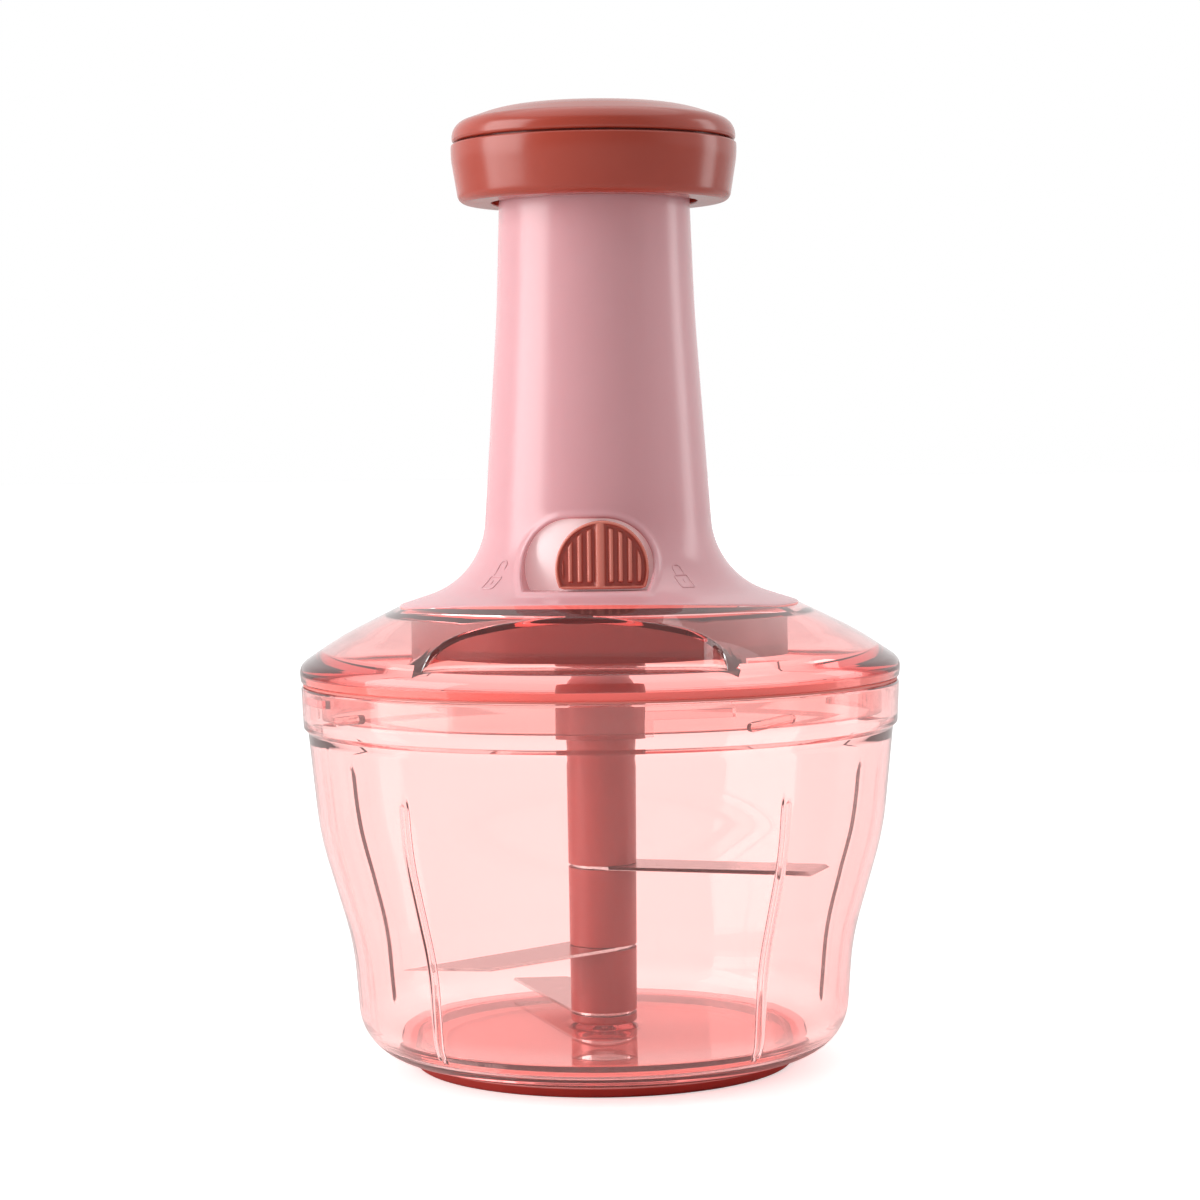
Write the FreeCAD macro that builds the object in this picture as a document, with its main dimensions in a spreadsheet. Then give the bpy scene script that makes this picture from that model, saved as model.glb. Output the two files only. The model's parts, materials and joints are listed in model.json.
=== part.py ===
import FreeCAD, Part
import math
import os
import Sketcher

# Plunger food chopper. Origin at the centre of the ring it stands on, +Z up, lock slider towards -Y.
# Millimetres and degrees. An azimuth is counted about +Z from -Y towards +X.

document = FreeCAD.newDocument("plunger_chopper")
sheet = document.addObject("Spreadsheet::Sheet", "sizes")
origin = FreeCAD.Vector(0, 0, 0)
upright = FreeCAD.Vector(0, 0, 1)
local_up = FreeCAD.Vector(0, 1, 0)
parts = []


class Size:
    # a number together with the sheet expression that gives it
    def __init__(self, value, text):
        self.value = value
        self.text = text

    def __add__(self, other):
        other = as_size(other)
        return Size(self.value + other.value, f"({self.text} + {other.text})")

    def __sub__(self, other):
        other = as_size(other)
        return Size(self.value - other.value, f"({self.text} - {other.text})")

    def __rsub__(self, other):
        return as_size(other) - self

    def __mul__(self, other):
        other = as_size(other)
        return Size(self.value * other.value, f"({self.text} * {other.text})")

    def __truediv__(self, other):
        other = as_size(other)
        return Size(self.value / other.value, f"({self.text} / {other.text})")

    def __neg__(self):
        return Size(-self.value, f"(0 - {self.text})")

    __radd__ = __add__
    __rmul__ = __mul__


def as_size(item):
    if isinstance(item, Size):
        return item
    return Size(float(item), f"{float(item)}")


def size(alias, number):
    # a driving dimension: one row of the sheet
    size.row += 1
    sheet.set(f"A{size.row}", alias)
    sheet.set(f"B{size.row}", str(number))
    sheet.setAlias(f"B{size.row}", alias)
    return Size(float(number), f"sizes.{alias}")


size.row = 0

# bowl
rim_radius = size("rim_radius", 76.9)
underside = size("underside", 3.2)
floor_thick = size("floor_thick", 6.0)
bowl_wall = size("bowl_wall", 2.2)
base_inset = size("base_inset", 14.6)
base_radius = rim_radius - base_inset
base_corner = size("base_corner", 13.0)
waist_inset = size("waist_inset", 12.4)
waist_radius = rim_radius - waist_inset
waist_height = size("waist_height", 32.0)
waist_bend = size("waist_bend", 70.0)
shoulder_inset = size("shoulder_inset", 4.3)
shoulder_radius = rim_radius - shoulder_inset
shoulder_height = size("shoulder_height", 60.0)
shoulder_bend = size("shoulder_bend", 80.0)
band_inset = size("band_inset", 1.6)
band_foot_radius = rim_radius - band_inset
band_foot_height = size("band_foot_height", 86.6)
band_step = size("band_step", 1.2)
rim_thick = size("rim_thick", 2.3)
rim_height = size("rim_height", 98.3)
boss_foot_radius = size("boss_foot_radius", 9.5)
boss_top_radius = size("boss_top_radius", 6.5)
boss_top = size("boss_top", 9.5)
pin_radius = size("pin_radius", 3.0)
pin_seat = size("pin_seat", 5.0)
pin_top = size("pin_top", 40.0)
pin_nose = size("pin_nose", 1.5)

# stirring ribs, each with a channel in the outside of the wall
rib_foot = size("rib_foot", 10.0)
rib_top = size("rib_top", 73.5)
rib_depth = size("rib_depth", 1.9)
rib_sweep = size("rib_sweep", 4.6)
rib_relief = size("rib_relief", 0.3)
channel_foot = size("channel_foot", 8.0)
channel_top = size("channel_top", 72.5)
channel_depth = size("channel_depth", 2.4)
channel_sweep = size("channel_sweep", 1.9)
channel_spare = size("channel_spare", 1.0)
rib_turn = size("rib_turn", 3.9)
front_rib = size("front_rib", 38.9)
side_rib = size("side_rib", 111.5)
back_rib = size("back_rib", 180.0)

# foot ring
ring_inner = size("ring_inner", 38.5)
ring_outer = size("ring_outer", 48.5)
pad_thick = size("pad_thick", 1.0)
ring_flare = size("ring_flare", 1.5)
ring_round = size("ring_round", 1.2)
tongue_inner = size("tongue_inner", 41.0)
tongue_outer = size("tongue_outer", 46.0)
tongue_height = size("tongue_height", 0.9)
tongue_gap = size("tongue_gap", 0.1)

# bayonet and seal
bayonet_count = size("bayonet_count", 4)
ledge_azimuth = size("ledge_azimuth", 22.0)
ledge_sweep = size("ledge_sweep", 17.0)
ledge_base = size("ledge_base", 94.6)
ledge_thick = size("ledge_thick", 2.0)
ledge_depth = size("ledge_depth", 1.8)
stop_sweep = size("stop_sweep", 1.5)
stop_drop = size("stop_drop", 4.0)
lug_azimuth = size("lug_azimuth", 39.0)
lug_sweep = size("lug_sweep", 10.3)
lug_height = size("lug_height", 2.8)
lug_gap = size("lug_gap", 0.6)
lug_depth = size("lug_depth", 1.8)
seal_gap = size("seal_gap", 0.3)
seal_thick = size("seal_thick", 0.5)
seal_lip_height = size("seal_lip_height", 2.0)
seal_lip_thick = size("seal_lip_thick", 1.0)
seal_reach = size("seal_reach", 0.9)

# lid cover
lid_proud = size("lid_proud", 0.1)
lid_radius = rim_radius + lid_proud
brim_swell = size("brim_swell", 0.3)
lid_brim_radius = lid_radius + brim_swell
lid_brim_height = size("lid_brim_height", 103.6)
lid_brim_round = size("lid_brim_round", 3.5)
lid_bend_inset = size("lid_bend_inset", 10.8)
lid_bend_radius = lid_brim_radius - lid_bend_inset
lid_bend_height = size("lid_bend_height", 110.9)
lid_bend = size("lid_bend", 80.0)
shelf_top = size("shelf_top", 118.0)
shelf_thick = size("shelf_thick", 2.0)
shelf_radius = size("shelf_radius", 52.0)
lid_wall_drop = size("lid_wall_drop", 2.5)
lid_hole = size("lid_hole", 34.2)
skirt_gap = size("skirt_gap", 2.2)
skirt_thick = size("skirt_thick", 2.0)
skirt_base = size("skirt_base", 91.0)
grip_floor = size("grip_floor", 105.5)
grip_half_width = size("grip_half_width", 36.5)
grip_back = size("grip_back", 53.0)
grip_corner = size("grip_corner", 11.0)
grip_wall = size("grip_wall", 2.2)

# neck
neck_top = size("neck_top", 228.0)
neck_top_radius = size("neck_top_radius", 24.3)
neck_mid_radius = size("neck_mid_radius", 25.5)
neck_mid_height = size("neck_mid_height", 193.0)
neck_mid_bend = size("neck_mid_bend", 400.0)
neck_foot_radius = size("neck_foot_radius", 30.1)
neck_foot_rise = size("neck_foot_rise", 7.5)
neck_foot_height = shelf_top + neck_foot_rise
neck_foot_bend = size("neck_foot_bend", 21.0)
flange_edge = size("flange_edge", 0.6)
flange_front = size("flange_front", 46.0)
flange_front_bend = size("flange_front_bend", 56.9)
flange_front_flat = size("flange_front_flat", 0.1)
flange_cut_height = size("flange_cut_height", 3.0)
collar_ring_inner = size("collar_ring_inner", 45.0)
collar_ring_sweep = size("collar_ring_sweep", 140.0)
flange_hollow_radius = size("flange_hollow_radius", 43.0)
flange_hollow_inner = size("flange_hollow_inner", 35.0)
flange_hollow_depth = size("flange_hollow_depth", 3.4)
bore_radius = size("bore_radius", 22.0)
window_half_width = size("window_half_width", 16.5)
window_drop = size("window_drop", 12.4)
window_height = size("window_height", 18.0)
window_foot_round = size("window_foot_round", 3.0)
window_arch_round = size("window_arch_round", 9.0)
sleeve_radius = size("sleeve_radius", 28.4)
sleeve_rise = size("sleeve_rise", 2.1)
key_depth = size("key_depth", 1.7)
key_sweep = size("key_sweep", 8.0)
key_gap = size("key_gap", 1.0)
key_root = size("key_root", 0.5)

# inside of the head
case_radius = size("case_radius", 48.4)
case_base = size("case_base", 111.5)
case_floor = size("case_floor", 114.0)
case_collar_radius = size("case_collar_radius", 10.2)
case_collar_base = size("case_collar_base", 108.5)
spigot_gap = size("spigot_gap", 0.4)
spigot_thick = size("spigot_thick", 2.2)
spigot_top = size("spigot_top", 119.5)
cover_base = size("cover_base", 105.8)
cover_thick = size("cover_thick", 2.0)
cover_skirt = size("cover_skirt", 2.2)
shaft_seal_thick = size("shaft_seal_thick", 1.7)
bush_wall = size("bush_wall", 2.55)
bush_flange = size("bush_flange", 0.8)
bush_flange_radius = size("bush_flange_radius", 9.5)
bush_drop = size("bush_drop", 0.5)
running_gap = size("running_gap", 0.05)
washer_thick = size("washer_thick", 0.6)
washer_radius = size("washer_radius", 8.5)
washer_gap = size("washer_gap", 0.1)
case_screw_circle = size("case_screw_circle", 38.0)
case_screw_count = size("case_screw_count", 4)
case_screw_turn = size("case_screw_turn", 45.0)
screw_radius = size("screw_radius", 1.5)
screw_clearance = size("screw_clearance", 0.3)
screw_head_radius = size("screw_head_radius", 2.8)
screw_head_height = size("screw_head_height", 2.0)
boss_radius = size("boss_radius", 3.6)
boss_height = size("boss_height", 3.4)

# plunger
travel = size("travel", 60.0)
tube_foot = size("tube_foot", 132.0)
tube_radius = size("tube_radius", 19.5)
tube_wall = size("tube_wall", 2.2)
tube_roof = size("tube_roof", 3.5)
collar_radius = size("collar_radius", 21.6)
collar_height = size("collar_height", 3.0)
tube_shoulder = size("tube_shoulder", 14.5)
tube_shoulder_thick = size("tube_shoulder_thick", 2.5)
guide_gap = size("guide_gap", 0.15)
guide_stop = size("guide_stop", 0.5)
guide_flange = size("guide_flange", 1.3)
nut_thick = size("nut_thick", 1.5)
nut_gap = size("nut_gap", 0.3)
retainer_height = size("retainer_height", 3.5)
retainer_bore = size("retainer_bore", 8.0)
slot_gap_wide = size("slot_gap_wide", 0.5)
slot_gap_thin = size("slot_gap_thin", 0.5)

# drive
rod_width = size("rod_width", 6.0)
rod_thick = size("rod_thick", 1.6)
rod_lead = size("rod_lead", 60.0)
rod_foot = size("rod_foot", 103.5)
rod_spare = size("rod_spare", 7.0)
spindle_radius = size("spindle_radius", 5.0)
spindle_flange_radius = size("spindle_flange_radius", 8.0)
spindle_flange = size("spindle_flange", 1.9)
hub_radius = size("hub_radius", 11.7)
hub_base = size("hub_base", 84.0)
hub_web_base = size("hub_web_base", 97.0)
hub_web_thick = size("hub_web_thick", 2.5)
hub_top = size("hub_top", 107.2)
hub_cup = size("hub_cup", 9.6)
hub_socket = size("hub_socket", 7.4)
clutch_height = size("clutch_height", 6.5)
clutch_gap = size("clutch_gap", 0.1)
tooth_count = size("tooth_count", 8)
tooth_depth = size("tooth_depth", 1.1)
tooth_sweep = size("tooth_sweep", 14.0)
dog_count = size("dog_count", 3)
dog_sweep = size("dog_sweep", 24.0)
dog_gap = size("dog_gap", 0.45)
dog_base = size("dog_base", 86.0)
dog_root = size("dog_root", 1.0)

# blade column
column_base = size("column_base", 10.0)
column_top = size("column_top", 83.6)
column_foot_radius = size("column_foot_radius", 8.5)
column_top_radius = size("column_top_radius", 9.0)
column_foot_round = size("column_foot_round", 0.8)
lower_blade_height = size("lower_blade_height", 12.2)
middle_blade_height = size("middle_blade_height", 29.5)
upper_blade_height = size("upper_blade_height", 50.3)
blade_thick = size("blade_thick", 1.0)
blade_width = size("blade_width", 16.5)
blade_gap = size("blade_gap", 4.1)
blade_reach = waist_radius - bowl_wall - blade_gap
lower_blade_trim = size("lower_blade_trim", 3.7)
lower_blade_reach = blade_reach - lower_blade_trim
blade_point = size("blade_point", 8.0)
blade_nose = size("blade_nose", 1.5)
blade_tail_flat = size("blade_tail_flat", 0.5)
lower_blade_azimuth = size("lower_blade_azimuth", -156.0)
middle_blade_azimuth = size("middle_blade_azimuth", -42.0)
upper_blade_azimuth = size("upper_blade_azimuth", 79.0)
core_across = size("core_across", 10.0)
core_foot = size("core_foot", 11.1)
core_top = size("core_top", 70.0)
core_bore_gap = size("core_bore_gap", 0.1)
core_bore_spare = size("core_bore_spare", 1.0)
spigot_radius = size("spigot_radius", 5.0)
column_spigot_top = size("column_spigot_top", 93.5)

# lock
slider_azimuth = size("slider_azimuth", 7.2)
slider_throw = size("slider_throw", 15.4)
slider_bite = size("slider_bite", 1.5)
slider_half_width = size("slider_half_width", 12.0)
slider_gap = size("slider_gap", 0.5)
slider_round = size("slider_round", 8.2)
slider_face = size("slider_face", 34.0)
catch_sweep = size("catch_sweep", 9.0)
catch_height = size("catch_height", 3.0)
catch_gap = size("catch_gap", 0.3)
catch_play = size("catch_play", 0.5)
slit_spare = size("slit_spare", 1.0)

# knob
knob_base = size("knob_base", 221.3)
knob_opening = size("knob_opening", 26.5)
knob_foot_radius = size("knob_foot_radius", 34.8)
knob_foot_round = size("knob_foot_round", 2.0)
knob_radius = size("knob_radius", 36.7)
knob_widest = size("knob_widest", 233.0)
knob_bend = size("knob_bend", 20.0)
knob_wall = size("knob_wall", 2.2)
knob_web_thick = size("knob_web_thick", 2.3)
knob_rim = size("knob_rim", 236.3)
knob_rim_draw = size("knob_rim_draw", 0.1)
seam_gap = size("seam_gap", 0.5)
cap_radius = size("cap_radius", 36.4)
cap_shoulder = size("cap_shoulder", 242.3)
cap_shoulder_round = size("cap_shoulder_round", 5.0)
cap_dome_radius = size("cap_dome_radius", 24.0)
cap_dome_bend = size("cap_dome_bend", 30.0)
cap_top = size("cap_top", 246.5)
cap_wall = size("cap_wall", 2.3)
cap_skirt_gap = size("cap_skirt_gap", 0.3)
cap_skirt_thick = size("cap_skirt_thick", 1.8)
cap_skirt_drop = size("cap_skirt_drop", 2.1)
cap_roof_lift = size("cap_roof_lift", 0.5)
knob_screw_circle = size("knob_screw_circle", 12.0)
knob_screw_count = size("knob_screw_count", 3)
knob_screw_turn = size("knob_screw_turn", 90.0)
knob_screw_spare = size("knob_screw_spare", 0.5)

# outlines of cuts reach this far past the face
cut_spare = size("cut_spare", 1.0)

# spring
wire_radius = size("wire_radius", 0.7)
spring_radius = size("spring_radius", 16.0)
spring_turns = size("spring_turns", 10)
spring_seat = size("spring_seat", 0.05)

document.recompute()

# heights and radii that several pieces share
floor_top = underside + floor_thick
rim_inner = rim_radius - rim_thick
lid_base = rim_height + 2 * seal_gap + seal_thick
skirt_outer = rim_inner - skirt_gap
shelf_base = shelf_top - shelf_thick
lug_top = ledge_base - lug_gap
seal_inner = skirt_outer + lug_depth + seal_gap
guide_base = tube_foot + collar_height + travel + guide_stop
nut_base = tube_foot + retainer_height
nut_top = nut_base + nut_thick
nut_middle = nut_base + nut_thick / 2
tube_inner = tube_radius - tube_wall
bush_radius = spindle_radius + running_gap + bush_wall
bush_top = case_floor + bush_flange
washer_base = bush_top + washer_gap
flange_base = washer_base + washer_thick
spindle_top = flange_base + spindle_flange
rod_foot_angle = 360 * (spindle_top - nut_middle) / rod_lead
rod_top = nut_top + travel + rod_spare
web_base = knob_rim - knob_web_thick - cap_skirt_drop - cap_skirt_gap
web_top = web_base + knob_web_thick
column_slope = (column_top_radius - column_foot_radius) / (column_top - column_base)
slider_back = sleeve_radius + slider_gap
catch_base = tube_foot + collar_height + catch_gap
catch_tip = tube_radius + slider_gap
window_base = catch_base - window_drop
window_top = window_base + window_height
sleeve_top = window_top + sleeve_rise
grip_ledge = grip_floor - grip_wall
flange_slope = (neck_foot_height - shelf_top - flange_edge) / (shelf_radius - flange_edge - neck_foot_radius)


def named_part(kind, label):
    item = document.addObject(kind, label)
    item.Label = label
    parts.append(item)
    return item


def sketch_on(body, role, name, azimuth=None, height=None, turn=None):
    sketch = body.newObject("Sketcher::SketchObject", f"{body.Label}_{name}")
    plane = next(item for item in body.Origin.OriginFeatures if item.Role == role)
    sketch.AttachmentSupport = (plane, [""])
    sketch.MapMode = "FlatFace"
    if azimuth is not None:
        angle = as_size(azimuth) - 90
        rotation = FreeCAD.Rotation(local_up, angle.value)
        sketch.AttachmentOffset = FreeCAD.Placement(origin, rotation)
        sketch.setExpression("AttachmentOffset.Rotation.Angle", angle.text)
    if height is not None:
        sketch.setExpression("AttachmentOffset.Base.z", height.text)
    if turn is not None:
        rotation = FreeCAD.Rotation(upright, turn.value)
        sketch.AttachmentOffset = FreeCAD.Placement(origin, rotation)
        sketch.setExpression("AttachmentOffset.Rotation.Angle", turn.text)
    return sketch


def point_rules(geometry, position, x, y):
    # the rules that fix one point of a sketch at sizes of the sheet
    rules = []
    for axis, item in (("X", as_size(x)), ("Y", as_size(y))):
        rule = Sketcher.Constraint(f"Distance{axis}", geometry, position, item.value)
        rules.append((rule, f"at{geometry}_{axis}", item.text))
    return rules


def radius_rule(geometry, radius):
    radius = as_size(radius)
    rule = Sketcher.Constraint("Radius", geometry, radius.value)
    return rule, f"round{geometry}", radius.text


def bind(sketch, rules):
    # adds the rules in one go, then ties those with a sheet expression to it
    indexes = sketch.addConstraint([rule for rule, name, text in rules])
    for index, (rule, name, text) in zip(indexes, rules):
        if "sizes." in text:
            sketch.renameConstraint(index, name)
            sketch.setExpression(f"Constraints.{name}", text)


def draw(sketch, corners):
    # a closed outline of (x, y) corners, rounded where a corner has a radius as third value
    first = sketch.GeometryCount
    count = len(corners)
    points = [FreeCAD.Vector(as_size(x).value, as_size(y).value, 0) for x, y, *_ in corners]
    leaving = list(points)
    arriving = list(points)
    arcs = {}
    for i, corner in enumerate(corners):
        if len(corner) == 2:
            continue
        radius = as_size(corner[2]).value
        inward = (points[i] - points[i - 1]).normalize()
        outward = (points[(i + 1) % count] - points[i]).normalize()
        turn = inward.getAngle(outward)
        reach = radius * math.tan(turn / 2)
        arriving[i] = points[i] - inward * reach
        leaving[i] = points[i] + outward * reach
        bisector = (outward - inward).normalize()
        centre = points[i] + bisector * (radius / math.cos(turn / 2))
        left_turn = inward.cross(outward).z > 0
        ends = (arriving[i], leaving[i]) if left_turn else (leaving[i], arriving[i])
        start, stop = (math.atan2(end.y - centre.y, end.x - centre.x) for end in ends)
        if stop < start:
            stop += 2 * math.pi
        circle = Part.Circle(centre, upright, radius)
        arcs[i] = (Part.ArcOfCircle(circle, start, stop), left_turn)
    sides = [Part.LineSegment(leaving[i], arriving[(i + 1) % count]) for i in range(count)]
    sketch.addGeometry(sides, False)
    rules = []
    for i, corner in enumerate(corners):
        before = first + (i - 1) % count
        after = first + i
        if i not in arcs:
            rules.append((Sketcher.Constraint("Coincident", before, 2, after, 1), "", ""))
            rules += point_rules(after, 1, corner[0], corner[1])
            continue
        arc, left_turn = arcs[i]
        bend = sketch.addGeometry(arc, False)
        tip = sketch.addGeometry(Part.Point(points[i]), True)
        entry, leave = (1, 2) if left_turn else (2, 1)
        joins = (
            Sketcher.Constraint("PointOnObject", tip, 1, before),
            Sketcher.Constraint("PointOnObject", tip, 1, after),
            Sketcher.Constraint("Tangent", before, 2, bend, entry),
            Sketcher.Constraint("Tangent", after, 1, bend, leave),
        )
        rules += [(join, "", "") for join in joins]
        rules += point_rules(tip, 1, corner[0], corner[1])
        rules.append(radius_rule(bend, corner[2]))
    bind(sketch, rules)


def draw_circle(sketch, x, y, radius):
    centre = FreeCAD.Vector(as_size(x).value, as_size(y).value, 0)
    index = sketch.addGeometry(Part.Circle(centre, upright, as_size(radius).value), False)
    bind(sketch, point_rules(index, 3, x, y) + [radius_rule(index, radius)])


def box_corners(left, right, low, high):
    return [(left, low), (right, low), (right, high), (left, high)]


def revolve(body, name, corners, azimuth=None, sweep=None, kind="Revolution"):
    # turns an outline of (radius, height) about the Z axis: all round, or over a sweep
    sketch = sketch_on(body, "XZ_Plane", name, azimuth=azimuth)
    draw(sketch, corners)
    feature = body.newObject(f"PartDesign::{kind}", f"{sketch.Name}_{kind.lower()}")
    feature.Profile = sketch
    feature.ReferenceAxis = (sketch, ["V_Axis"])
    feature.Angle = 360
    if sweep is not None:
        feature.Angle = sweep.value
        feature.setExpression("Angle", sweep.text)
        feature.Midplane = True
        feature.Refine = False
    return feature


def extrude(body, sketch, length, kind="Pad", flipped=False):
    feature = body.newObject(f"PartDesign::{kind}", f"{sketch.Name}_{kind.lower()}")
    feature.Profile = sketch
    feature.Length = as_size(length).value
    feature.setExpression("Length", as_size(length).text)
    feature.Reversed = flipped
    return feature


def repeat(body, features, count):
    pattern = body.newObject("PartDesign::PolarPattern", f"{features[0].Name}_ring")
    pattern.Originals = features
    axis = next(item for item in body.Origin.OriginFeatures if item.Role == "Z_Axis")
    pattern.Axis = (axis, [""])
    pattern.Angle = 360
    pattern.Occurrences = int(count.value)
    pattern.setExpression("Occurrences", count.text)
    pattern.Refine = False
    body.Tip = pattern


def turned(label, corners):
    body = named_part("PartDesign::Body", label)
    revolve(body, "section", corners)
    return body


def turn_part(item, azimuth):
    # stands a piece, modelled facing -Y, at its azimuth
    item.Placement = FreeCAD.Placement(origin, FreeCAD.Rotation(upright, azimuth.value))
    item.setExpression("Placement.Rotation.Angle", azimuth.text)


def drill(body, name, circle, count, turn, radius, base, depth):
    # a ring of round holes upward from a height
    sketch = sketch_on(body, "XY_Plane", name, height=base)
    for i in range(int(count.value)):
        angle = math.radians(turn.value + 360 * i / count.value)
        draw_circle(sketch, circle * math.cos(angle), circle * math.sin(angle), radius)
    extrude(body, sketch, depth, "Pocket", flipped=True)


def screw_set(label, circle, count, turn, head_base, head_up, length):
    # identical screws as separate solids; the head is above or below the joint face
    screws = []
    for i in range(int(count.value)):
        angle = math.radians(turn.value + 360 * i / count.value)
        x = circle * math.cos(angle)
        y = circle * math.sin(angle)
        head = document.addObject("Part::Cylinder", f"{label}_head{i}")
        shank = document.addObject("Part::Cylinder", f"{label}_shank{i}")
        face = head_base if head_up else head_base + screw_head_height
        shank_base = face - length if head_up else face
        rows = (
            (head, screw_head_radius, screw_head_height, head_base),
            (shank, screw_radius, length, shank_base),
        )
        for item, radius, height, base in rows:
            item.setExpression("Radius", radius.text)
            item.setExpression("Height", as_size(height).text)
            item.setExpression("Placement.Base.x", x.text)
            item.setExpression("Placement.Base.y", y.text)
            item.setExpression("Placement.Base.z", as_size(base).text)
        screw = document.addObject("Part::Fuse", f"{label}_screw{i}")
        screw.Base = head
        screw.Tool = shank
        screws.append(screw)
    group = named_part("Part::Compound", label)
    group.Links = screws


def hexagon(body, name, base, turn=None):
    # outline of the core tube, flat to flat along X
    sketch = sketch_on(body, "XY_Plane", name, height=base, turn=turn)
    flat = core_across / 2
    edge = core_across * (0.5 * math.tan(math.radians(30)))
    draw(sketch, [(flat, edge), (0, 2 * edge), (-flat, edge), (-flat, -edge), (0, -2 * edge), (flat, -edge)])
    return sketch


def column_radius(height):
    return column_foot_radius + column_slope * (height - column_base)


# bowl and what stays with it

def make_bowl():
    body = named_part("PartDesign::Body", "bowl")
    revolve(body, "section", [
        (0, underside),
        (base_radius, underside, base_corner),
        (waist_radius, waist_height, waist_bend),
        (shoulder_radius, shoulder_height, shoulder_bend),
        (band_foot_radius, band_foot_height),
        (band_foot_radius + band_step, band_foot_height + band_step),
        (rim_radius, rim_height),
        (rim_inner, rim_height),
        (rim_inner, band_foot_height + band_step),
        (band_foot_radius - bowl_wall, band_foot_height - band_step),
        (shoulder_radius - bowl_wall, shoulder_height, shoulder_bend - bowl_wall),
        (waist_radius - bowl_wall, waist_height, waist_bend + bowl_wall),
        (base_radius - bowl_wall, floor_top, base_corner - bowl_wall),
        (boss_foot_radius, floor_top),
        (boss_top_radius, boss_top),
        (pin_radius, boss_top),
        (pin_radius, pin_seat),
        (0, pin_seat),
    ])
    revolve(body, "ring_groove", box_corners(
        tongue_inner - tongue_gap,
        tongue_outer + tongue_gap,
        underside - tongue_height,
        underside + tongue_height + tongue_gap,
    ), kind="Groove")
    middle = bowl_wall / 2
    inset = bowl_wall + rib_depth
    for name, azimuth in rib_azimuths():
        revolve(body, f"{name}_rib", [
            (base_radius - inset, rib_foot),
            (base_radius - inset + middle, rib_foot),
            (waist_radius - middle, waist_height),
            (shoulder_radius - middle - rib_relief, shoulder_height),
            (band_foot_radius - inset + middle, rib_top),
            (band_foot_radius - inset, rib_top),
            (shoulder_radius - inset, shoulder_height),
            (waist_radius - inset, waist_height),
        ], azimuth, rib_sweep)
    for name, azimuth in rib_azimuths():
        revolve(body, f"{name}_channel", [
            (base_radius - bowl_wall, channel_foot),
            (rim_radius, channel_foot),
            (rim_radius, channel_top),
            (band_foot_radius - channel_depth - channel_spare, channel_top),
            (shoulder_radius - channel_depth - rib_relief, shoulder_height),
            (waist_radius - channel_depth, waist_height),
            (base_radius - channel_depth + channel_spare, 2 * channel_foot),
        ], azimuth, channel_sweep, kind="Groove")
    ledge = revolve(body, "ledge", box_corners(
        rim_inner - ledge_depth, rim_inner + rim_thick / 2, ledge_base, ledge_base + ledge_thick,
    ), ledge_azimuth, ledge_sweep)
    stop = revolve(body, "stop", box_corners(
        rim_inner - ledge_depth, rim_inner + rim_thick / 2, ledge_base - stop_drop, ledge_base,
    ), ledge_azimuth - ledge_sweep / 2 + stop_sweep / 2, stop_sweep)
    repeat(body, [ledge, stop], bayonet_count)


def rib_azimuths():
    return (
        ("right_front", rib_turn + front_rib),
        ("left_front", rib_turn - front_rib),
        ("right_side", rib_turn + side_rib),
        ("left_side", rib_turn - side_rib),
        ("back", rib_turn + back_rib),
    )


def make_foot():
    turned("non_slip_foot", [
        (0, underside - pad_thick),
        (ring_inner, underside - pad_thick),
        (ring_inner, 0, ring_round),
        (ring_outer, 0, ring_round),
        (ring_outer + ring_flare, underside),
        (tongue_outer, underside),
        (tongue_outer, underside + tongue_height),
        (tongue_inner, underside + tongue_height),
        (tongue_inner, underside),
        (0, underside),
    ])
    turned("pivot_pin", [
        (0, pin_seat),
        (pin_radius, pin_seat),
        (pin_radius, pin_top, pin_nose),
        (0, pin_top),
    ])


def make_lid_seal():
    low = rim_height + seal_gap
    lip = seal_inner + seal_lip_thick
    turned("lid_seal_ring", [
        (seal_inner, low),
        (lip + seal_reach, low),
        (lip + seal_reach, low + seal_thick),
        (lip, low + seal_thick),
        (lip, low + seal_thick + seal_lip_height),
        (seal_inner, low + seal_thick + seal_lip_height),
    ])


# head: what lifts off with the lid

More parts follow.
